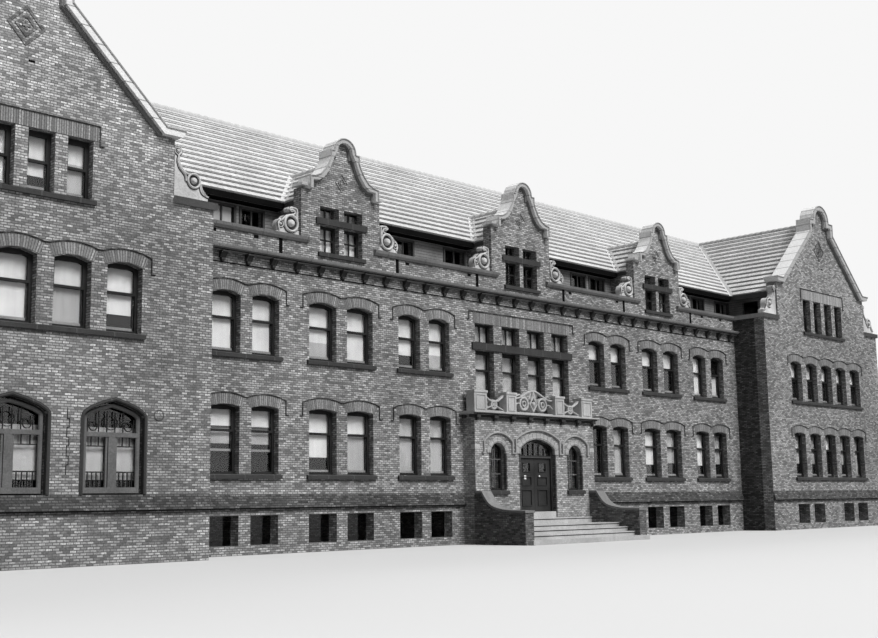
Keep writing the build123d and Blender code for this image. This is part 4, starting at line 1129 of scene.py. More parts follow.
@dataclass
class HoodMoulds:
    """Thin projecting brick labels over the windows, with arches of bricks on end under them.

    A label's top lies rise over the crowns and drop over its feet, and it reaches beyond the outer
    windows.
    """

    plan: WindowPlan
    rise: float = 0.172
    sag: float = 0.062
    drop: float = 0.30
    beyond: float = 0.13
    foot: float = 0.065
    thick: float = 0.011
    out: float = 0.022
    strip_out: float = 0.004
    far_strip: float = 0.115

    def label(self, shape: Shape, centres: list[float], window: float, crown: float, face: float) -> None:
        """A label that waves over a row of arches and drops beside the outer ones.

        Each wave is a segmental arch whose ends lie sag below its crown.

        Args:
            shape: The piece that takes it.
            centres: Middles of the windows.
            window: Half width of a window.
            crown: Crown of the windows' heads.
            face: Plane of the wall.
        """
        top, edge = crown + self.rise, window + self.beyond
        half = (centres[1] - centres[0]) / 2
        waves = []
        for i, c in enumerate(centres):
            wave = segment_head(c, edge, top - self.sag * 1.25, top, 17)
            low = c - (half if i else edge)
            high = c + (half if i < len(centres) - 1 else edge)
            waves.append(wave[(wave[:, 0] >= low - 1e-6) & (wave[:, 0] <= high + 1e-6)])
        over = np.concatenate(waves)
        self.with_feet(shape, centres[0] - edge, centres[-1] + edge, top - self.drop, over, face)

    def with_feet(self, shape: Shape, x0: float, x1: float, foot: float, over: np.ndarray,
                  face: float) -> None:
        """A label over a path, with a drop and a foot at each end.

        Args:
            shape: The piece that takes it.
            x0: Its left end.
            x1: Its right end.
            foot: Height of the feet.
            over: The path between the drops, of shape (n, 2).
            face: Plane of the wall.
        """
        t, o = self.thick, self.out
        profile = np.array(((0.0, -SINK), (0.0, o * 0.8), (t * 0.3, o), (t, o), (t, -SINK)))
        path = (((x0 - self.foot, foot), (x0, foot)), over, ((x1, foot), (x1 + self.foot, foot)))
        shape.band(np.concatenate(path), profile, face)

    def strip(self, shape: Shape, path: np.ndarray, height: float, face: float) -> None:
        """A band of bricks on end over a path."""
        shape.band(np.array(path), bar(height, self.strip_out), face)

    def far_strips(self, out: Shape) -> None:
        """Plain bands of bricks on end over the windows of the far sides.

        Args:
            out: The piece that takes them.
        """
        p = self.plan
        parts = {side: Shape() for side in ("back", "end", "wing")}
        for z in (p.low, p.up):
            for side, spots in p.far().items():
                for x in spots:
                    low, high = around(x, p.half + 0.06)
                    self.strip(parts[side], ((low, z[1]), (high, z[1])), self.far_strip, 0.0)
        place_far(out, parts)

    def build(self) -> None:
        """Builds every label and every arch on the front, and plain bands of bricks on end elsewhere."""
        labels, faint = Shape("hood_labels"), Shape("faint_labels")
        arches, pale = Shape("brick_arches"), Shape("brick_lintels")
        p = self.plan
        for c, pitch, half in p.pairs:
            for z in (p.low, p.up):
                self.label(labels, list(around(c, pitch / 2)), half, z[2], 0.0)
        for side, z in ((-1, p.up), (1, p.up), (1, p.wing_low)):
            centres = [side * WING_X + i * p.pitch for i in range(-2, 3)]
            self.label(faint if side > 0 else labels, centres, p.half, z[2], WING_OUT)
        for o in p.front():
            if o.crown > o.spring:
                head = segment_head(o.x, o.half + 0.03, o.spring - 0.004, o.crown, 15)
                self.strip(arches, head, self.rise - 0.012, o.face)
        for shape, cx, half, low, high, reach, top, foot, face in (
                (arches, -WING_X, 1.085, p.gable[2], 5.803, 1.10, 5.815, 5.54, WING_OUT),
                (pale, WING_X, 1.085, p.gable[2], 5.848, 1.10, 5.86, 5.54, WING_OUT),
                (arches, 0.0, 1.42, 4.038, 4.238, 1.53, 4.25, 4.09, 0.0)):
            self.strip(shape, ((cx - half, low), (cx + half, low)), high - low, face)
            over = np.array(((cx - reach, top), (cx + reach, top)))
            self.with_feet(labels, cx - reach, cx + reach, foot, over, face)
        self.far_strips(arches)
        # The labels' brick is made very dark, which also paints the shadow line under them.
        for shape, finish in ((labels, "label_brick"), (arches, "arch_brick"), (pale, "lintel_brick"),
                              (faint, "raised_brick")):
            shape.build("brick", finish)


@dataclass
class HallWindows:
    """The three wide four-centred windows of the left wing, with mullion, transom and leaded lights.

    Rail, mullion, bar and lead are half widths. A roundel is (height, radius, number of points).
    """

    pitch: float = 1.44
    halves: Spot = (0.45, 0.49, 0.45)
    low: float = 0.905
    spring: float = 1.905
    apex: float = 2.140
    transom: float = 1.69
    rail: float = 0.03
    mullion: float = 0.05
    bar: float = 0.006
    lead: float = 0.005
    leaded: Point = (1.0, 1.19)
    upper_bar: Point = (1.530, 1.545)
    roundel: tuple[float, float, int] = (1.97, 0.08, 20)
    roundel_x: Point = (-8.62, -12.84)
    teeth_x: Point = (-9.97, -11.49)

    def __post_init__(self) -> None:
        """Starts the pieces."""
        self.wood, self.outer, self.bars, self.cloth, self.dark = map(Shape, (
            "hall_window_frames", "hall_window_orders", "hall_window_bars", "hall_curtains",
            "hall_room_shade"))

    def arch(self, cx: float, half: float, foot: float, apex: float) -> np.ndarray:
        """Jambs and head of an opening as one path."""
        head = tudor_head(cx, half, self.spring, apex)
        return np.concatenate((((cx - half, foot),), head, ((cx + half, foot),)))

    @staticmethod
    def behind(near: float, far: float) -> Point:
        """A range of y behind the wing's face."""
        return (WING_OUT + near, WING_OUT + far)

    def lights(self, m: float, reach: float) -> None:
        """The lower lights at one side of the mullion: stiles, bars, leads and a curtain.

        Args:
            m: Their middle.
            reach: Half their width.
        """
        under = self.transom - self.rail
        for x in around(m, reach):
            self.wood.box(around(x, 0.014), self.behind(0.075, 0.108), (self.leaded[0], under))
        y, wide = self.behind(0.09, 0.108), around(m, reach)
        self.bars.box(wide, y, self.upper_bar)
        self.bars.box(wide, y, (self.leaded[1], self.leaded[1] + 0.018))
        self.bars.box(wide, y, around(sum(self.leaded) / 2, self.lead))
        for x in around(m, reach / 3):
            self.bars.box(around(x, self.bar), y, (self.upper_bar[1], under))
        for i in range(1, 5):
            self.bars.box(around(m - reach + 2 * reach * i / 5, self.lead), y, self.leaded)
        self.cloth.box(wide, self.behind(0.15, 0.156), (self.leaded[1] - 0.09, self.transom))

    def window(self, cx: float, half: float) -> None:
        """One window: order, frame, transom, mullion, tracery, leaded lights and curtains.

        Args:
            cx: Middle of the window.
            half: Half its width.
        """
        inset = half - 0.04
        order = np.array(((-0.004, -0.05), (-0.004, 0.012), (0.014, 0.022), (0.03, 0.012), (0.042, 0.012),
                          (0.042, -0.004)))
        edge = np.array(((0.0, -0.09), (0.0, -0.05), (-0.03, -0.06), (-0.045, -0.075), (-0.045, -0.09)))
        self.outer.band(self.arch(cx, half, self.low, self.apex), order, WING_OUT)
        self.wood.band(self.arch(cx, inset, self.low + 0.02, self.apex - 0.045), edge, WING_OUT, flip=True)
        y, wide = self.behind(0.062, 0.105), around(cx, inset)
        self.wood.box(wide, y, around(self.transom, self.rail))
        self.wood.box(around(cx, self.mullion), y, (self.leaded[0], self.transom - self.rail))
        self.wood.box(wide, y, (self.low + 0.02, self.leaded[0]))
        for s in SIDES:
            self.lights(cx + s * (self.mullion + inset) / 2, (inset - self.mullion) / 2 - 0.02)
        lead = np.array(((0.0, -0.108), (0.0, -0.09), (0.010, -0.09), (0.010, -0.108)))
        for x, z, r in ((-0.26, 1.80, 0.065), (0.0, 1.85, 0.10), (0.26, 1.80, 0.065)):
            self.bars.band(arc_points((cx + x, z), r, 340.0, 18), lead, WING_OUT, closed=True)
        for x, top in ((0.34, 1.90), (0.18, 2.0), (0.06, 2.0)):
            for s in SIDES:
                self.bars.box(around(cx + s * x, self.bar), self.behind(0.09, 0.105),
                              (self.transom + self.rail, top))
        self.cloth.box(wide, self.behind(0.17, 0.175), (self.transom, 1.79))
        # Painted shade: a black sheet behind the window stands for the dark hall.
        self.dark.box(around(cx, half), self.behind(0.19, 0.196), (self.low, self.apex))

    def build(self) -> None:
        """Builds the three windows, the toothed joints between them and the round bosses beside."""
        for i, half in zip((-1, 0, 1), self.halves):
            self.window(-WING_X + i * self.pitch, half)
        for shape, slot, finish in ((self.wood, "window_frame", "bar_paint"),
                                    (self.outer, "brick", "dark_stone_and_shade"),
                                    (self.bars, "window_frame", "frame_paint"),
                                    (self.cloth, "window_frame", "window_curtain"),
                                    (self.dark, "window_frame", "painted_shade_black")):
            shape.build(slot, finish)
        relief, teeth = Shape("left_wing_roundels"), Shape("toothed_joints")
        z, radius, count = self.roundel
        for x in self.roundel_x:
            ring = arc_points((x, z), radius, 345.0, count)
            relief.band(ring, bar(0.014, 0.008), WING_OUT, closed=True)
        for x in self.teeth_x:
            path = [(x + 0.03 * (k % 2), 1.16 + 0.12 * (k + up)) for k in range(7) for up in (0, 1)]
            teeth.band(np.array(path), bar(0.009, 0.004), WING_OUT)
        relief.build("brick", "raised_brick")
        teeth.build("brick", "painted_shade_black")


# Roofs

@dataclass
class TiledRoofs:
    """Courses of tiles on every slope, ridge tiles and metal valleys."""

    course: float = 0.2035
    lip: float = 0.03
    valley: float = 0.07

    def slope(self, shape: Shape, foot: Spot, along: Spot, up: Spot, length: float, left: Point,
              right: Point) -> None:
        """Lays stepped courses on one slope.

        Course k runs from v = k c to (k + 1) c up the slope. It lies a lip above the roof at its lower
        edge and sinks to a third of that at its upper edge, where the next course starts. The ends
        lie at left[0] + left[1] * v and right[0] + right[1] * v along the eave.

        Args:
            shape: The piece that takes it.
            foot: A point of the eave from which the ends are measured.
            along: Unit vector along the eave; along x up points outwards.
            up: Unit vector up the slope.
            length: Length of the slope.
            left: Start and rate of the left end.
            right: Start and rate of the right end.
        """
        count = int(math.ceil(length / self.course))
        edges = np.minimum(np.arange(count + 1) * self.course, length)
        v = np.concatenate(((0.0,), np.repeat(edges, 2)[1:-1], (length,)))
        h = np.concatenate(((0.0,), np.tile((self.lip, self.lip * 0.35), count), (0.0,)))
        a, b = np.array(along), np.array(up)
        ends = np.stack((left[0] + left[1] * v, right[0] + right[1] * v), -1)
        points = foot + ends[..., None] * a + v[:, None, None] * b + h[:, None, None] * np.cross(a, b)
        uv = np.stack((ends, np.broadcast_to(v[:, None], ends.shape)), -1)
        shape.grid(points.transpose(1, 0, 2), wrap_v=True, uv=uv.transpose(1, 0, 2))
        shape.caps(points[:, 0], points[:, 1])

    @staticmethod
    def trough(shape: Shape, start: Spot, end: Spot, out_x: int, out_y: int, width: float = 0.08) -> None:
        """A metal valley: a shallow V between two slopes.

        Args:
            shape: The piece that takes it.
            start: Lower end of the valley line.
            end: Upper end.
            out_x: Way along X, away from the valley, in one slope.
            out_y: Way along Y in the other slope.
            width: Width along each of them.
        """
        arms = ((out_x, 0.0, 0.0), (0.0, out_y, 0.0))[::out_x * out_y]
        side = np.array((arms[0], (0.0, 0.0, 0.0), arms[1])) * width
        points = np.array((start, end))[:, None] + np.concatenate((side, side[::-1]))
        points[..., 2] += (0.036, 0.012, 0.036, 0.0, -0.02, 0.0)
        shape.grid(points, wrap_v=True)
        shape.caps(points[0], points[1])

    @staticmethod
    def ridge(shape: Shape, start: Spot, end: Spot, pitch: float = 0.17, radius: float = 0.055) -> None:
        """Ridge tiles as a row of beads.

        The cross-section is a circle's upper part, and its radius swells as r (1 + 0.3 |sin(pi s / p)|)
        along the ridge.

        Args:
            shape: The piece that takes it.
            start: One end of the ridge.
            end: The other end.
            pitch: Length of one bead.
            radius: Radius between the beads.
        """
        a, b, upright = np.array(start), np.array(end), np.array((0.0, 0.0, 1.0))
        length = float(np.linalg.norm(b - a))
        t = (b - a) / length
        s = np.linspace(0.0, length, max(2, int(round(length / pitch)) * 6) + 1)
        turn = np.radians(np.linspace(-35.0, 215.0, 9))[:, None]
        swell = radius * (1.0 + 0.3 * np.abs(np.sin(math.pi * s / pitch)))
        ring = np.cos(turn) * np.cross(t, upright) + np.sin(turn) * upright
        points = a + s[:, None, None] * t + swell[:, None, None] * ring
        shape.grid(points, wrap_v=True)
        shape.caps(points[0], points[-1])

    def build(self) -> None:
        """Builds all slopes, valleys and ridges."""
        rise = math.hypot(1.0, PITCH)
        c, s = 1.0 / rise, PITCH / rise
        run = RIDGE_Y - EAVE_Y
        length = run * rise
        inner = WING_X - run
        reach, near = inner - self.valley, EAVE_Y - self.valley
        y0 = WING_OUT + WING_GABLE_T
        main, wings, small = Shape("main_roof_tiles"), Shape("wing_roof_tiles"), Shape("dormer_roof_tiles")
        metal, caps = Shape("roof_valleys"), Shape("ridge_tiles")
        for d, y in ((1, EAVE_Y), (-1, DEPTH - EAVE_Y)):
            self.slope(main, (0.0, y, EAVE_Z), (d, 0, 0), (0, d * c, s), length, (-reach, -c), (reach, c))
            for side in SIDES:
                self.trough(metal, (side * inner, y, EAVE_Z), (side * WING_X, RIDGE_Y, RIDGE_Z), -side, -d)
        self.slope(wings, (inner, 0.0, EAVE_Z), (0, -1, 0), (c, 0, s), length, (-near, -c), (-y0, 0.0))
        self.slope(wings, (inner, DEPTH, EAVE_Z), (0, -1, 0), (c, 0, s), length, (y0, 0.0), (near, c))
        self.slope(wings, (WING_X + run, 0.0, EAVE_Z), (0, 1, 0), (-c, 0, s), length, (y0, 0.0),
                   (DEPTH - y0, 0.0))
        wings.include(wings, flip=True)
        self.ridge(caps, (-WING_X, RIDGE_Y, RIDGE_Z), (WING_X, RIDGE_Y, RIDGE_Z))
        for side in SIDES:
            self.ridge(caps, (side * WING_X, y0, RIDGE_Z), (side * WING_X, DEPTH - y0, RIDGE_Z))
        half, front, back = DORMER_HALF, 0.2, EAVE_Y - 0.05
        top = EAVE_Z + half * PITCH
        for x in DORMER_X:
            self.slope(small, (x + half, 0.0, EAVE_Z), (0, 1, 0), (-c, 0, s), half * rise, (front, 0.0),
                       (back, c))
            self.slope(small, (x - half, 0.0, EAVE_Z), (0, -1, 0), (c, 0, s), half * rise, (-back, -c),
                       (-front, 0.0))
            for d in SIDES:
                self.trough(metal, (x + d * half, EAVE_Y, EAVE_Z), (x, EAVE_Y + half, top), d, -1, 0.085)
            self.ridge(caps, (x, front, top), (x, EAVE_Y + half, top))
        for shape in (main, wings, small):
            shape.build("roof_tile", "weathered_tile")
        metal.build("lead", "valley_metal")
        caps.build("roof_tile", "ridge_tile", smooth=True)


@dataclass
class Eaves:
    """Boards under the eaves, black to paint the shade there, painted posts between the attic windows and the
    attic's end walls.

    The boards run from -reach to reach and leave out each shaped gable, gable to either side of its
    middle.
    """

    wall: float = EAVE_Y + 0.175
    glass_z: Point = (5.10, 5.55)
    foot_rail: float = 0.045
    head_rail: float = 0.035
    reach: float = 8.47
    gable: float = 0.88
    walls_z: Point = (4.4, 5.745)
    back_y: Point = (4.78, 5.955)

    def window(self, posts: Shape, x0: float, x1: float) -> None:
        """Posts, rails and a middle bar of one attic window.

        Args:
            posts: The piece that takes them.
            x0: Left edge of the window.
            x1: Its right edge.
        """
        low, high = self.glass_z
        y = (self.wall - 0.02, self.wall + 0.04)
        for x in (x0 - 0.03, x1 - 0.01):
            posts.box((x, x + 0.04), y, (low, high))
        posts.box((x0, x1), y, (low, low + self.foot_rail))
        posts.box((x0, x1), y, (high - self.head_rail, high))
        posts.box(around((x0 + x1) / 2, 0.012), (self.wall + 0.01, self.wall + 0.035),
                  (low + self.foot_rail, high - self.head_rail))

    def build(self) -> None:
        """Builds the fascias, the soffit boards, the attic windows and the walls that close the attic."""
        boards, posts = Shape("eaves_boards"), Shape("attic_window_frames")
        sheet, siding = Shape("attic_window_sheet"), Shape("attic_end_walls")
        edges = [-self.reach, *(x + s * self.gable for x in DORMER_X for s in SIDES), self.reach]
        # The fascia and soffit boards wear black that paints the shade under the eaves.
        for x in zip(edges[::2], edges[1::2]):
            boards.box(x, (EAVE_Y - 0.012, EAVE_Y + 0.01), (EAVE_Z - 0.10, EAVE_Z - 0.012))
            boards.box(x, (EAVE_Y + 0.02, EAVE_Y + 0.19), (EAVE_Z - 0.125, EAVE_Z - 0.105))
        for a, b in ATTIC_WINDOWS:
            self.window(posts, a, b)
            self.window(posts, -b, -a)
        sheet.box((-6.82, -6.41), (self.wall + 0.036, self.wall + 0.04), (5.15, 5.51))
        for s in SIDES:
            siding.box(sorted((s * 12.805, s * 12.812)), (-0.55, self.back_y[1]), self.walls_z)
            siding.box(sorted((s * 8.655, s * 8.78)), self.back_y, self.walls_z)
        for shape, finish in ((siding, "attic_boards"), (sheet, "window_blind"), (boards, "painted_shade_black"),
                              (posts, "grey_paint")):
            shape.build("attic_render", finish)


# Stone and brick ornament

@dataclass(frozen=True)
class Scroll:
    """One kind of scroll, drawn for the right side of a gable.

    The outline runs anticlockwise through foot, the rounded lobe and end, and the slab from near to
    far in y. An eye is (middle, radius, radius of its boss).
    """

    near: float
    far: float
    foot: tuple[Point, ...]
    lobe: tuple[Point, ...]
    end: tuple[Point, ...]
    eyes: tuple[tuple[Point, float, float], ...]
    curves: tuple[tuple[Point, ...], ...]


DORMER_SCROLL = Scroll(
    near=0.035, far=0.165, foot=((0.0, 0.0), (0.47, 0.0), (0.47, 0.035)),
    lobe=((0.45, 0.045), (0.48, 0.13), (0.43, 0.235), (0.35, 0.255), (0.315, 0.31), (0.20, 0.345),
          (0.125, 0.375), (0.15, 0.395), (0.215, 0.38), (0.25, 0.42), (0.215, 0.47), (0.12, 0.48),
          (0.045, 0.45)),
    end=((0.035, 0.38), (0.035, 0.09), (0.0, 0.085)),
    eyes=(((0.195, 0.185), 0.15, 0.065), ((0.17, 0.425), 0.045, 0.018), ((0.40, 0.15), 0.06, 0.024)),
    curves=(((0.12, 0.40), (0.085, 0.35), (0.075, 0.29)), ((0.27, 0.31), (0.34, 0.26), (0.38, 0.21))))
WING_SCROLL = Scroll(
    near=WING_OUT + 0.03, far=WING_OUT + 0.18, foot=((0.0, 0.0), (0.605, 0.0)),
    lobe=((0.605, 0.10), (0.50, 0.13), (0.475, 0.20), (0.48, 0.29), (0.43, 0.375), (0.35, 0.405),
          (0.265, 0.385), (0.205, 0.40), (0.14, 0.47), (0.105, 0.55), (0.10, 0.61), (0.14, 0.64),
          (0.15, 0.69), (0.115, 0.742), (0.0, 0.745)),
    end=(),
    eyes=(((0.34, 0.281), 0.115, 0.05), ((0.075, 0.675), 0.062, 0.03)),
    curves=(((0.085, 0.60), (0.065, 0.53), (0.09, 0.44), (0.16, 0.38), (0.205, 0.33), (0.21, 0.26)),
            ((0.46, 0.24), (0.475, 0.17), (0.54, 0.10))))


@dataclass
class Scrolls:
    """Carved stone scrolls beside the gables: a body with a raised edge, ringed eyes and bosses, and thin
    dark bands that paint the shade in their grooves.
    """

    bevel: float = 0.022
    tall_x: float = 2.28

    def __post_init__(self) -> None:
        """Starts the piece that all scrolls share."""
        self.groove_shades = Shape("scroll_groove_shades")

    def body(self, shape: Shape, outline: np.ndarray, front: float, back: float) -> None:
        """A slab with a bevelled front edge.

        Args:
            shape: The piece that takes it.
            outline: Array of shape (n, 2), which runs anticlockwise.
            front: Plane of its front.
            back: Plane of its back.
        """
        inset = outline + self.bevel * mitred_normals(outline, True)
        rings = ((outline, back), (outline, front + self.bevel), (inset, front))
        points = np.stack([np.insert(ring, 1, y, axis=1) for ring, y in rings], 1)
        shape.grid(points, wrap_u=True)
        shape.caps(points[:, 2], points[:, 0])

    @staticmethod
    def eye(shape: Shape, centre: Point, radius: float, front: float, boss: float) -> None:
        """A ring and a boss on the front face.

        Args:
            shape: The piece that takes them.
            centre: Middle (x, z).
            radius: Radius of the ring.
            front: Plane of the face.
            boss: Radius of the boss.
        """
        lip = radius * 0.24
        profile = ((0.0, -0.01), (0.0, lip * 0.9), (lip * 0.5, lip * 1.25), (lip, lip * 0.9), (lip, -0.01))
        shape.band(arc_points(centre, radius, 345.0, 24), np.array(profile), front, closed=True)
        radii, outs = np.array((1.0, 0.92, 0.7, 0.4)), np.array((-0.1, 0.5, 0.9, 1.05))
        shape.dome(centre, radii * boss, outs * boss, front)

    def place(self, shape: Shape, scroll: Scroll, x: float, side: int) -> None:
        """Puts a scroll on the coping, turned outwards to the given side.

        Args:
            shape: The piece that takes it.
            scroll: What it looks like.
            x: Where its inner edge stands.
            side: 1 for the right of a gable, -1 for the left.
        """
        part, dark, front = Shape(), Shape(), scroll.near
        lobe, end = rounded(np.array(scroll.lobe)), np.reshape(scroll.end, (-1, 2))
        outline = np.concatenate((scroll.foot, lobe, end))
        self.body(part, outline, front, scroll.far)
        # The dark bands beside the edge, round the eyes and along the cords, and the discs inside the eyes,
        # paint the shade of grooves and hollows.
        edge, shade_strip = outline[3:-1], bar(0.010, 0.003)
        lip = np.array(((0.012, -0.01), (0.012, 0.016), (0.022, 0.022), (0.034, 0.016), (0.034, -0.01)))
        part.band(edge, lip, front)
        dark.band(edge, shade_strip + (0.036, 0.0), front)
        for centre, radius, boss in scroll.eyes:
            self.eye(part, centre, radius, front, boss)
            dark.band(arc_points(centre, radius + 0.013, 345.0, 24), shade_strip, front, closed=True)
            dark.dome(centre, np.array((0.76, 0.75)) * radius, np.array((-SINK, 0.003)), front, 24)
        cord = np.array(((-0.014, -SINK), (-0.012, 0.022), (0.0, 0.032), (0.012, 0.022), (0.014, -SINK)))
        for curve in scroll.curves:
            path = rounded(np.array(curve))
            part.band(path, cord, front)
            for a in (0.014, -0.024):
                dark.band(path, shade_strip + (a, 0.0), front)
        shape.include(part, move=(x, 0.0, COPING_Z), flip=side < 0)
        self.groove_shades.include(dark, move=(x, 0.0, COPING_Z), flip=side < 0)

    def build(self) -> None:
        """Builds every scroll in place of the plain CAD ones."""
        small, tall = Shape("dormer_scroll_carving"), Shape("wing_scroll_carving")
        for side in SIDES:
            for x in DORMER_X:
                self.place(small, DORMER_SCROLL, x + side * DORMER_HALF, side)
            for wing in SIDES:
                self.place(tall, WING_SCROLL, wing * WING_X + side * self.tall_x, side)
        self.groove_shades.build("pale_stone", "dark_stone_and_shade")
        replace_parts(small.build("pale_stone", "carved_stone", smooth=True), "dormer_scrolls")
        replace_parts(tall.build("pale_stone", "carved_stone", smooth=True), "wing_scrolls")


@dataclass
class Ornaments:
    """Raised brick diamonds, coping rolls, cornice drops, parapet slots and small relief.

    A diamond is (height, half width, half height).
    """

    wing_diamond: Spot = (6.95, 0.27, 0.28)
    dormer_diamond: Spot = (6.11, 0.14, 0.16)
    arm: float = 0.02
    head_z: float = 7.72
    head_radii: Point = (0.405, 0.29)
    shoulder_z: float = 5.895
    cornice_half: float = 7.777
    bracket_count: int = 32
    bracket_pitch: float = 0.486
    bracket_x: float = -7.533

    def diamond(self, shape: Shape, x: float, z: float, half: float, tall: float, face: float,
                width: float) -> None:
        """Two nested rings of raised brick with a cross inside.

        Args:
            shape: The piece that takes it.
            x: Middle of the diamond.
            z: Its height.
            half: Half its width.
            tall: Half its height.
            face: Plane of the wall.
            width: Width of a ring.
        """
        for k in (1.0, 0.58):
            ring = np.array(((x + half * k, z), (x, z + tall * k), (x - half * k, z), (x, z - tall * k)))
            shape.band(ring, bar(width, 0.012), face, closed=True)
        shape.box(around(x, half * 0.22), (face - 0.012, face + SINK), around(z, self.arm))
        shape.box(around(x, self.arm), (face - 0.0125, face + SINK), around(z, tall * 0.22))

    @staticmethod
    def whole(right: list[Point], centre: float, radius: float, move: float) -> np.ndarray:
        """A gable's outline from the right foot over the half-round head to the left foot.

        Args:
            right: The right side from its foot up.
            centre: Height of the head's centre.
            radius: Radius of the head.
            move: Middle of the gable.

        Returns:
            Array of shape (n, 2).
        """
        side = np.array(right)
        arc = arc_points((0.0, centre), radius, 180.0, 25)
        return np.concatenate((side, arc, side[::-1] * (-1, 1))) + (move, 0.0)

    def coping_rolls(self) -> None:
        """A moulded roll inside the edge of each gable coping, and a dark moulding on the wall under it,
        whose tone paints the shade under the coping.
        """
        rolls, beds = Shape("coping_rolls"), Shape("coping_bed_moulds")
        roll = np.array(((0.004, -0.005), (0.004, 0.012), (0.016, 0.020), (0.028, 0.012), (0.028, -0.005)))
        bed = np.array(((0.0, -0.005), (0.0, 0.05), (0.03, 0.05), (0.045, 0.03), (0.045, -0.005)))
        top, (wide, narrow) = self.head_z, self.head_radii
        outer = [(2.405, 5.99), (2.405, 6.022), (2.09, 6.022), (0.61, 7.411), (0.61, top), (wide, top)]
        inner = [(2.046, 5.905), (0.495, 7.3615), (0.495, 7.605), (narrow, 7.605)]
        for side in SIDES:
            rolls.band(self.whole(outer, top, wide, side * WING_X), roll, WING_OUT - 0.11)
            beds.band(self.whole(inner, top, narrow, side * WING_X), bed, WING_OUT)
        # Half width and height of each corner of a shaped gable, and how far the inner line drops there.
        steps = ((0.77, 0.0, 0.0), (0.77, 0.207, 0.7), (0.65, 0.227, 0.9), (0.537, 0.282, 0.7),
                 (0.437, 0.387, 0.4), (0.362, 0.512, 0.0), (0.325, 0.599, 0.0), (0.325, 0.735, 1.0),
                 (0.245, 0.735, 1.0))
        inset, head, radius = 0.08, 0.735, 0.245
        for x, lift in zip(DORMER_X, DORMER_LIFT):
            base = self.shoulder_z + lift
            outer = [(a, base + b) for a, b, _ in steps]
            inner = [(a - inset, base + b - k * inset) for a, b, k in steps]
            rolls.band(self.whole(outer, base + head, radius, x), roll * 0.9, -0.105)
            beds.band(self.whole(inner, base + head, radius - inset, x), bed * 0.7, 0.0)
        rolls.build("pale_stone", "coping_moulding")
        beds.build("pale_stone", "shaded_bed_moulding")

    def cornice(self) -> None:
        """Caps over the brackets and curled drops under them, in dark stone that paints their shade, and thin
        black lines along the cornice that paint the shadows of its mouldings.
        """
        drops, shadow_lines = Shape("cornice_drops"), Shape("cornice_shadow_lines")
        for i in range(self.bracket_count):
            x = self.bracket_x + self.bracket_pitch * i
            for half, y, z in ((0.068, (-0.12, -0.02), (4.578, 4.5985)),
                               (0.032, (-0.05, 0.0), (4.462, 4.497)),
                               (0.022, (-0.035, 0.0), (4.445, 4.462))):
                drops.box(around(x, half), y, z)
        # Painted shadow: thin black strips under the cornice's mouldings and under the frieze's course.
        for y, low, high in ((-0.012, 4.431, 4.443), (-0.1535, 4.650, 4.657), (-0.114, 4.612, 4.618)):
            shadow_lines.box(around(0.0, self.cornice_half), (y, 0.0), (low, high))
        drops.build("pale_stone", "dark_stone_and_shade")
        shadow_lines.build("pale_stone", "painted_shade_black")

    def slots(self) -> None:
        """Thin black plates that paint the shade in the parapet's joints and drain holes and the small vents,
        and the shadow line over the plinth.
        """
        slots = Shape("parapet_slot_shades")
        shade_plates = [(around(x + side * 1.285, 0.035), (-0.004, 0.01), (4.69, 4.971))
                 for x in DORMER_X for side in SIDES]
        shade_plates += [(around(side * x, 0.045), (-0.003, 0.01), (4.90, 4.95))
                  for x in (1.5, 3.1, 6.4, 7.2) for side in SIDES]
        shade_plates += [((side * WING_X + 0.05, side * WING_X + 0.14), (WING_OUT - 0.003, WING_OUT + 0.01),
                   (6.47, 6.50)) for side in SIDES]
        shade_plates += [(sorted((side * a, side * b)), (y - 0.0505, y + 0.01), (PLINTH_Z - 0.006, PLINTH_Z + 0.014))
                  for side in SIDES for a, b, y in ((1.74, 7.775, 0.0), (7.78, 13.68, WING_OUT))]
        for hole in shade_plates:
            slots.box(*hole)
        slots.build("brick", "painted_shade_black")

    def build(self) -> None:
        """Builds the diamonds, rolls, drops and slots."""
        relief, faint = Shape("gable_diamonds"), Shape("dormer_diamonds")
        for side in SIDES:
            self.diamond(relief, side * WING_X, *self.wing_diamond, WING_OUT, 0.04)
        z, half, tall = self.dormer_diamond
        for x, lift in zip(DORMER_X, DORMER_LIFT):
            self.diamond(faint, x, z + lift, half, tall, 0.0, 0.008)
        relief.build("brick", "raised_brick")
        faint.build("brick", "common_brick")
        self.coping_rolls()
        self.cornice()
        self.slots()


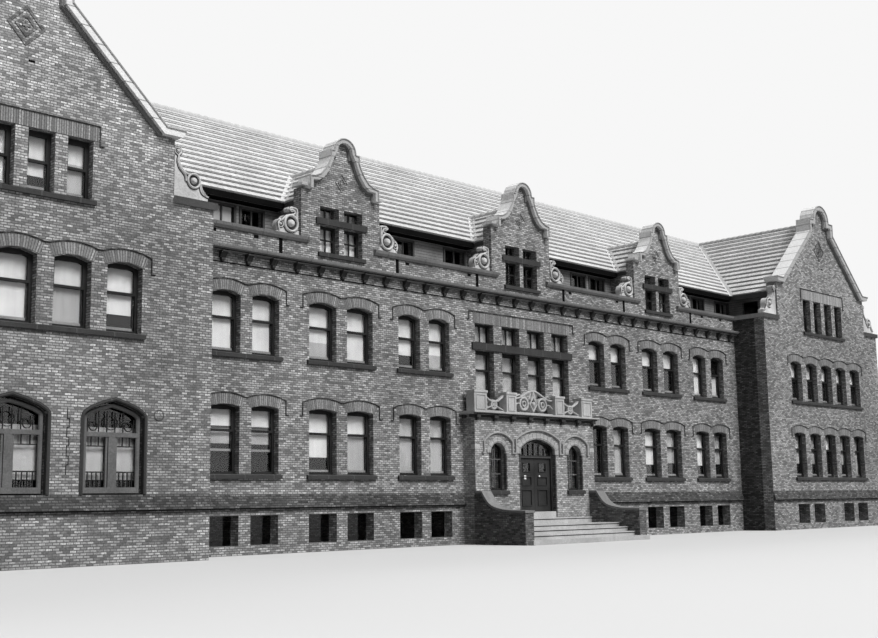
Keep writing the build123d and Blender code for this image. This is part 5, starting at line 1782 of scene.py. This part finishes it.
@dataclass
class Porch:
    """Stone dressings of the porch: arches, quoins, balustrade, brackets and cheek copings.

    A tread is (height, front edge), and a post (middle, width).
    """

    face: float = -0.285
    half: float = 1.735
    top: float = 2.31
    spring: float = 1.62
    panel_z: float = 2.37
    label_foot: float = 1.61
    label_reach: float = 0.06
    block_z: Point = (1.69, 1.77)
    step_half: float = 1.549
    treads: tuple[Point, ...] = ((0.430, -0.325), (0.325, -0.980), (0.245, -1.175), (0.160, -1.335))
    posts: tuple[Point, ...] = ((0.712, 0.275), (1.561, 0.333))
    post_panel_z: Point = (2.41, 2.68)
    bracket_count: int = 8

    def arches(self) -> None:
        """Pale segmental arches over the door and the side lights, dark jamb rolls and labels with feet."""
        stone, labels, jambs = Shape("porch_arches"), Shape("porch_labels"), Shape("porch_jambs")
        roll = np.array(((-0.008, -0.05), (-0.008, 0.008), (0.008, 0.016), (0.024, 0.008), (0.024, -0.004)))
        ledge = np.array(((0.0, -0.004), (0.0, 0.03), (0.008, 0.04), (0.028, 0.04), (0.028, -0.004)))
        door = (0.515, 1.73, 0.185, 0.45, 0.10, 0.63, 2.09)
        light = (0.215, 1.665, 0.16, 0.97, 0.08, 0.375, 2.01)
        for c, (half, spring, rise, foot, wide, label, top) in (
                (0.0, door), (-SIDE_LIGHT_X, light), (SIDE_LIGHT_X, light)):
            rim = np.array(((-0.012, -0.03), (-0.012, 0.012), (0.02, 0.024), (0.035, 0.012), (wide, 0.012),
                            (wide, -0.004)))
            head = segment_head(c, half, spring, spring + rise, 21)
            path = (((c - half, self.spring),), head, ((c + half, self.spring),))
            stone.band(np.concatenate(path), rim, self.face)
            for s in SIDES:
                ends = np.array(((c + s * half, foot), (c + s * half, self.spring)))
                jambs.band(ends[::-s], roll, self.face)
            over = segment_head(c, label, top - rise - 0.03, top - 0.03, 21)
            (x0, x1), z, reach = around(c, label), self.label_foot, self.label_reach
            path = (((x0 - reach, z), (x0, z)), over, ((x1, z), (x1 + reach, z)))
            labels.band(np.concatenate(path), ledge, self.face)
        stone.build("pale_stone", "arch_stone")
        labels.build("pale_stone", "label_stone")
        jambs.build("brick", "label_brick")

    def quoins(self) -> None:
        """One small pale block at each front corner, at the height of the springings."""
        blocks = Shape("porch_blocks")
        for s in SIDES:
            x = sorted((s * (self.half - 0.13), s * (self.half + 0.004)))
            blocks.box(x, (self.face - 0.004, self.face + 0.10), self.block_z)
        blocks.build("pale_stone", "pale_stone")

    def nosings(self) -> None:
        """Thin worn edges on the treads, with a painted shadow line under each."""
        edges, shadow_lines = Shape("step_nosings"), Shape("step_shadow_lines")
        for top, y in self.treads:
            edges.box(around(0.0, self.step_half), (y - 0.012, y + 0.03), (top - 0.018, top + 0.0015))
            shadow_lines.box(around(0.0, self.step_half - 0.001), (y - 0.002, y + 0.01),
                      (top - 0.034, top - 0.018))
        edges.build("pale_stone", "pale_stone")
        shadow_lines.build("pale_stone", "dark_stone_and_shade")

    def balustrade(self) -> None:
        """Pierced strapwork between panelled posts, in place of the plain CAD panels.

        The top rail of the middle panel rises as cos squared, and those of the side panels sag as t
        squared, for t from -1 to 1 across the panel.
        """
        strap, y, base = Shape("balcony_strapwork"), self.face + 0.06, self.panel_z
        section = np.array(((-0.014, -0.068), (-0.014, -0.006), (0.0, 0.0), (0.014, -0.006), (0.014, -0.068)))
        t = np.linspace(-1.0, 1.0, 33)
        high = 0.25 + 0.20 * np.cos(math.pi * t / 2) ** 2 + 0.05 * np.abs(t) ** 3
        low = 0.20 + 0.13 * t ** 2
        side_arms = (((0.0, 0.14), (0.25, 0.05)), ((0.05, 0.19), (0.25, 0.29)))
        middle_arms = (((0.07, 0.28), (0.02, 0.36), (0.0, 0.46)),
                       ((0.385, 0.20), (0.47, 0.20), (0.575, 0.13)),
                       ((0.34, 0.29), (0.40, 0.37), (0.50, 0.33)))
        for m, w, rail, rings, arms in (
                (-1.122, 0.545, low, ((0.0, 0.14, 0.07),), side_arms),
                (1.122, 0.545, low, ((0.0, 0.14, 0.07),), side_arms),
                (0.0, 1.149, high, ((-0.270015, 0.20, 0.115), (0.270015, 0.20, 0.115)), middle_arms)):
            strap.box(around(m, w / 2), (y, y + 0.07), (base, base + 0.035))
            strap.band(np.stack((m + t * w / 2, base + rail), -1), section, y)
            for x, z, radius in rings:
                for share, end, count, size in ((1.0, 345.0, 24, 1.3), (0.42, 330.0, 14, 0.7)):
                    ring = arc_points((m + x, base + z), radius * share, end, count)
                    strap.band(ring, section * size, y, closed=True)
            for arm in arms:
                for s in SIDES:
                    strap.band((np.array(arm) * (s, 1) + (m, base))[::s], section * 0.7, y)
        lozenge = np.array(((0.10, 0.0), (0.0, 0.14), (-0.10, 0.0), (0.0, -0.14))) + (0.0, base + 0.20)
        strap.band(lozenge, section * 0.8, y, closed=True)
        strap.dome((0.0, base + 0.20), np.array((1.0, 0.9, 0.65, 0.3)) * 0.045,
                   np.array((-0.03, 0.01, 0.02, 0.025)), y)
        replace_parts(strap.build("pale_stone", "pale_stone"), "balcony_panels")
        frames = Shape("balcony_post_panels")
        low, high = self.post_panel_z
        for x, w in self.posts:
            for s in SIDES:
                a, b = around(s * x, w / 2 - 0.04)
                ring = np.array(((b, low), (b, high), (a, high), (a, low)))
                frames.band(ring, bar(0.014, 0.012), self.face, closed=True)
        frames.build("pale_stone", "pale_stone")

    def brackets(self) -> None:
        """Brackets and a moulding under the balcony slab, in dark stone that paints their shade, with painted
        shadow strips along the slab.
        """
        blocks, dark = Shape("balcony_brackets"), Shape("balcony_shadow_line")
        half, face, top = self.half, self.face, self.top
        for i in range(self.bracket_count):
            x = -half + 0.03 + i * (2 * half - 0.06) / (self.bracket_count - 1)
            a, b = max(x - 0.055, -half), min(x + 0.055, half)
            blocks.box((a, b), (face - 0.075, face), (top - 0.06, top))
            blocks.box((a + 0.025, b - 0.025), (face - 0.045, face), (top - 0.11, top - 0.06))
        blocks.box((-half, half), (face - 0.02, face), (top - 0.085, top - 0.06))
        for s in SIDES:
            for y in (-0.25, -0.06):
                blocks.box(sorted((s * half, s * (half + 0.07))), around(y, 0.03), (top - 0.055, top))
        # Painted shadow: dark strips under the slab and along its edges.
        for reach, near, far, low, high in ((0.0, 0.006, 0.0, -0.05, -0.002),
                                            (0.066, 0.067, 0.05, 0.001, 0.02),
                                            (0.101, 0.1005, 0.09, 0.02, 0.034)):
            dark.box(around(0.0, half + reach), (face - near, face - far), (top + low, top + high))
        blocks.build("pale_stone", "dark_stone_and_shade")
        dark.build("pale_stone", "dark_stone_and_shade")

    def cheeks(self) -> None:
        """Swept copings on the cheek walls beside the steps, drawn as a front and turned."""
        part, out = Shape(), Shape("cheek_copings")
        path = np.array(((0.285, 0.905), (0.450, 0.900), (0.490, 0.845), (0.540, 0.770), (0.620, 0.688),
                         (0.720, 0.632), (0.845, 0.597), (1.050, 0.565), (1.475, 0.552)))
        path = np.concatenate((path[:1], rounded(path[1:], 1))) * (-1, 1)
        part.band(path[::-1], np.array(((-0.005, 1.535), (-0.005, 1.79), (0.035, 1.79), (0.035, 1.535))), 0.0)
        out.include(part, turn=1)
        out.include(out, flip=True)
        out.build("pale_stone", "ledge_stone")

    def build(self) -> None:
        """Builds the porch's dressings."""
        for make in (self.arches, self.quoins, self.balustrade, self.brackets, self.cheeks, self.nosings):
            make()


@dataclass
class Entrance:
    """Mouldings, plates and knobs on the doors, and bars in the fanlight and the side lights."""

    face: float = -0.19
    stile: float = 0.085
    edge: float = 0.455
    gap: float = 0.0025
    panels: tuple[Spot, ...] = ((0.660, 0.965, 0.0), (1.035, 1.205, 0.0), (1.290, 1.465, 0.03))

    def leaf(self, side: int, name: str) -> None:
        """Mouldings and furniture of one leaf, which turn with it.

        Args:
            side: 1 for the right leaf, -1 for the left.
            name: Last word of the leaf's body.
        """
        x0, x1 = sorted((side * self.gap, side * self.edge))
        trim, brass = Shape(f"door_mouldings_{name}"), Shape(f"door_plate_{name}")
        raised = np.array(((0.0, -0.004), (0.0, 0.010), (0.006, 0.013), (0.014, 0.010), (0.014, -0.004)))
        for low, high, inset in self.panels:
            a, b = x0 + self.stile + inset, x1 - self.stile - inset
            trim.band(np.array(((b, low), (b, high), (a, high), (a, low))), raised, self.face, closed=True)
        if side < 0:
            brass.box((-0.298, -0.242), (self.face - 0.004, self.face + 0.014), (1.1525, 1.2275))
        else:
            brass.dome((0.148, 1.21), np.array((1.0, 1.0, 0.7, 0.3)) * 0.02,
                       np.array((-0.014, 0.004, 0.010, 0.012)), self.face)
        trim.build("door_wood", "door_paint", f"door_{name}")
        brass.build("door_wood", "door_plate", f"door_{name}")

    def build(self) -> None:
        """Builds both leaves and the bars."""
        self.leaf(-1, "left")
        self.leaf(1, "right")
        bars, lancet = Shape("fanlight_bars"), Shape("lancet_bars")
        for x, top in ((-0.30, 1.74), (-0.15, 1.81), (0.0, 1.85), (0.15, 1.81), (0.30, 1.74)):
            bars.box(around(x, 0.009), (-0.20, -0.182), (1.60, top))
        bars.box((-0.46, 0.46), (-0.225, -0.215), (1.555, 1.575))
        for c in (-SIDE_LIGHT_X, SIDE_LIGHT_X):
            lancet.box(around(c, 0.009), (-0.195, -0.177), (0.99, 1.77))
            for z in (1.25, 1.515):
                lancet.box(around(c, 0.17), (-0.196, -0.178), around(z, 0.008))
        bars.build("window_frame", "grey_paint")
        lancet.build("window_frame", "bar_paint")


@dataclass
class Studio:
    """Camera, lamps, floor and backdrop."""

    eye: Spot = (-17.649, -17.4175, 0.725)
    yaw: float = 0.795
    pitch: float = 0.152
    roll: float = -0.015
    lens: float = 49.44
    floor_half: float = 400.0

    def camera(self) -> None:
        """Places the camera where the photograph was taken.

        The view runs along (sin yaw cos pitch, cos yaw cos pitch, sin pitch), and the picture is
        turned by the roll about it.
        """
        data = bpy.data.cameras.new("photo_camera")
        data.sensor_fit = "HORIZONTAL"
        data.sensor_width = 36.0
        data.lens = self.lens
        data.clip_end = 400.0
        sy, cy, sp, cp = math.sin(self.yaw), math.cos(self.yaw), math.sin(self.pitch), math.cos(self.pitch)
        ahead, level = np.array((sy * cp, cy * cp, sp)), np.array((cy, -sy, 0.0))
        upright = np.cross(level, ahead)
        right = math.cos(self.roll) * level + math.sin(self.roll) * upright
        up = -math.sin(self.roll) * level + math.cos(self.roll) * upright
        rows = np.eye(4)
        rows[:3] = np.stack((right, up, -ahead, self.eye), -1)
        camera = put("photo_camera", data)
        camera.matrix_world = Matrix(rows.tolist())
        bpy.context.scene.camera = camera

    @staticmethod
    def lamps() -> None:
        """A high broad sun before the front and a weaker one behind."""
        for name, energy, wide, tilt, turn in (("sun", 3.5, 28, 42, 5), ("back_sun", 1.5, 40, -58, -25)):
            data = bpy.data.lights.new(name, "SUN")
            data.energy = energy
            data.angle = math.radians(wide)
            put(name, data).rotation_euler = (math.radians(tilt), 0.0, math.radians(turn))

    @staticmethod
    def sky() -> None:
        """A sky that lights the scene softly, darker on the left, and shows as a plain pale backdrop."""
        world = bpy.data.worlds.new("sky")
        bpy.context.scene.world = world
        world.use_nodes = True
        world.node_tree.nodes.clear()
        g = Graph(world.node_tree)
        across = g.xyz(g.node("TexCoord").outputs["Generated"])[0]
        fill = g.node("Background", {0: grey(1.0), 1: g.spread(across, -0.7, 0.3, 0.06, 0.45)})
        seen = g.node("Background", {0: grey(0.93)})
        rays = g.node("LightPath").outputs
        shown = g.calc("MAXIMUM", g.calc("MAXIMUM", rays["Is Camera Ray"], rays["Is Glossy Ray"]),
                       rays["Is Transmission Ray"])
        mix = g.node("MixShader", {0: shown, 1: fill.outputs[0], 2: seen.outputs[0]})
        g.node("OutputWorld", {0: mix.outputs[0]})

    def floor(self) -> None:
        """A plain pale floor under the building."""
        mesh = bpy.data.meshes.new("studio_floor")
        a = self.floor_half
        corners = [(-a, -a, -0.001), (a, -a, -0.001), (a, a, -0.001), (-a, a, -0.001)]
        mesh.from_pydata(corners, [], [(0, 1, 2, 3)])
        material = bpy.data.materials.new("studio_floor")
        material.use_nodes = True
        surface = material.node_tree.nodes["Principled BSDF"].inputs
        g = Graph(material.node_tree)
        seen = g.node("LightPath").outputs["Is Camera Ray"]
        g.feed(g.blend(seen, grey(0.22), grey(0.62)), surface["Base Color"])
        g.feed(0.9, surface["Roughness"])
        mesh.materials.append(material)
        put("studio_floor", mesh)

    def build(self) -> None:
        """Builds the whole studio."""
        bpy.context.scene.view_settings.view_transform = "Standard"
        for make in (self.camera, self.lamps, self.sky, self.floor):
            make()


def main() -> None:
    """Builds the classes in order and reports each piece."""
    logging.basicConfig(level=logging.INFO, format="%(message)s")
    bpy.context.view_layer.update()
    dress_frame()
    plan = WindowPlan()
    for part in (TiledRoofs(), Eaves(), Sashes(plan), OtherWindows(plan), HoodMoulds(plan), HallWindows(),
                 Scrolls(), Ornaments(), Porch(), Entrance(), Studio()):
        part.build()
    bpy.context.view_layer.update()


if __name__ == "__main__":
    main()
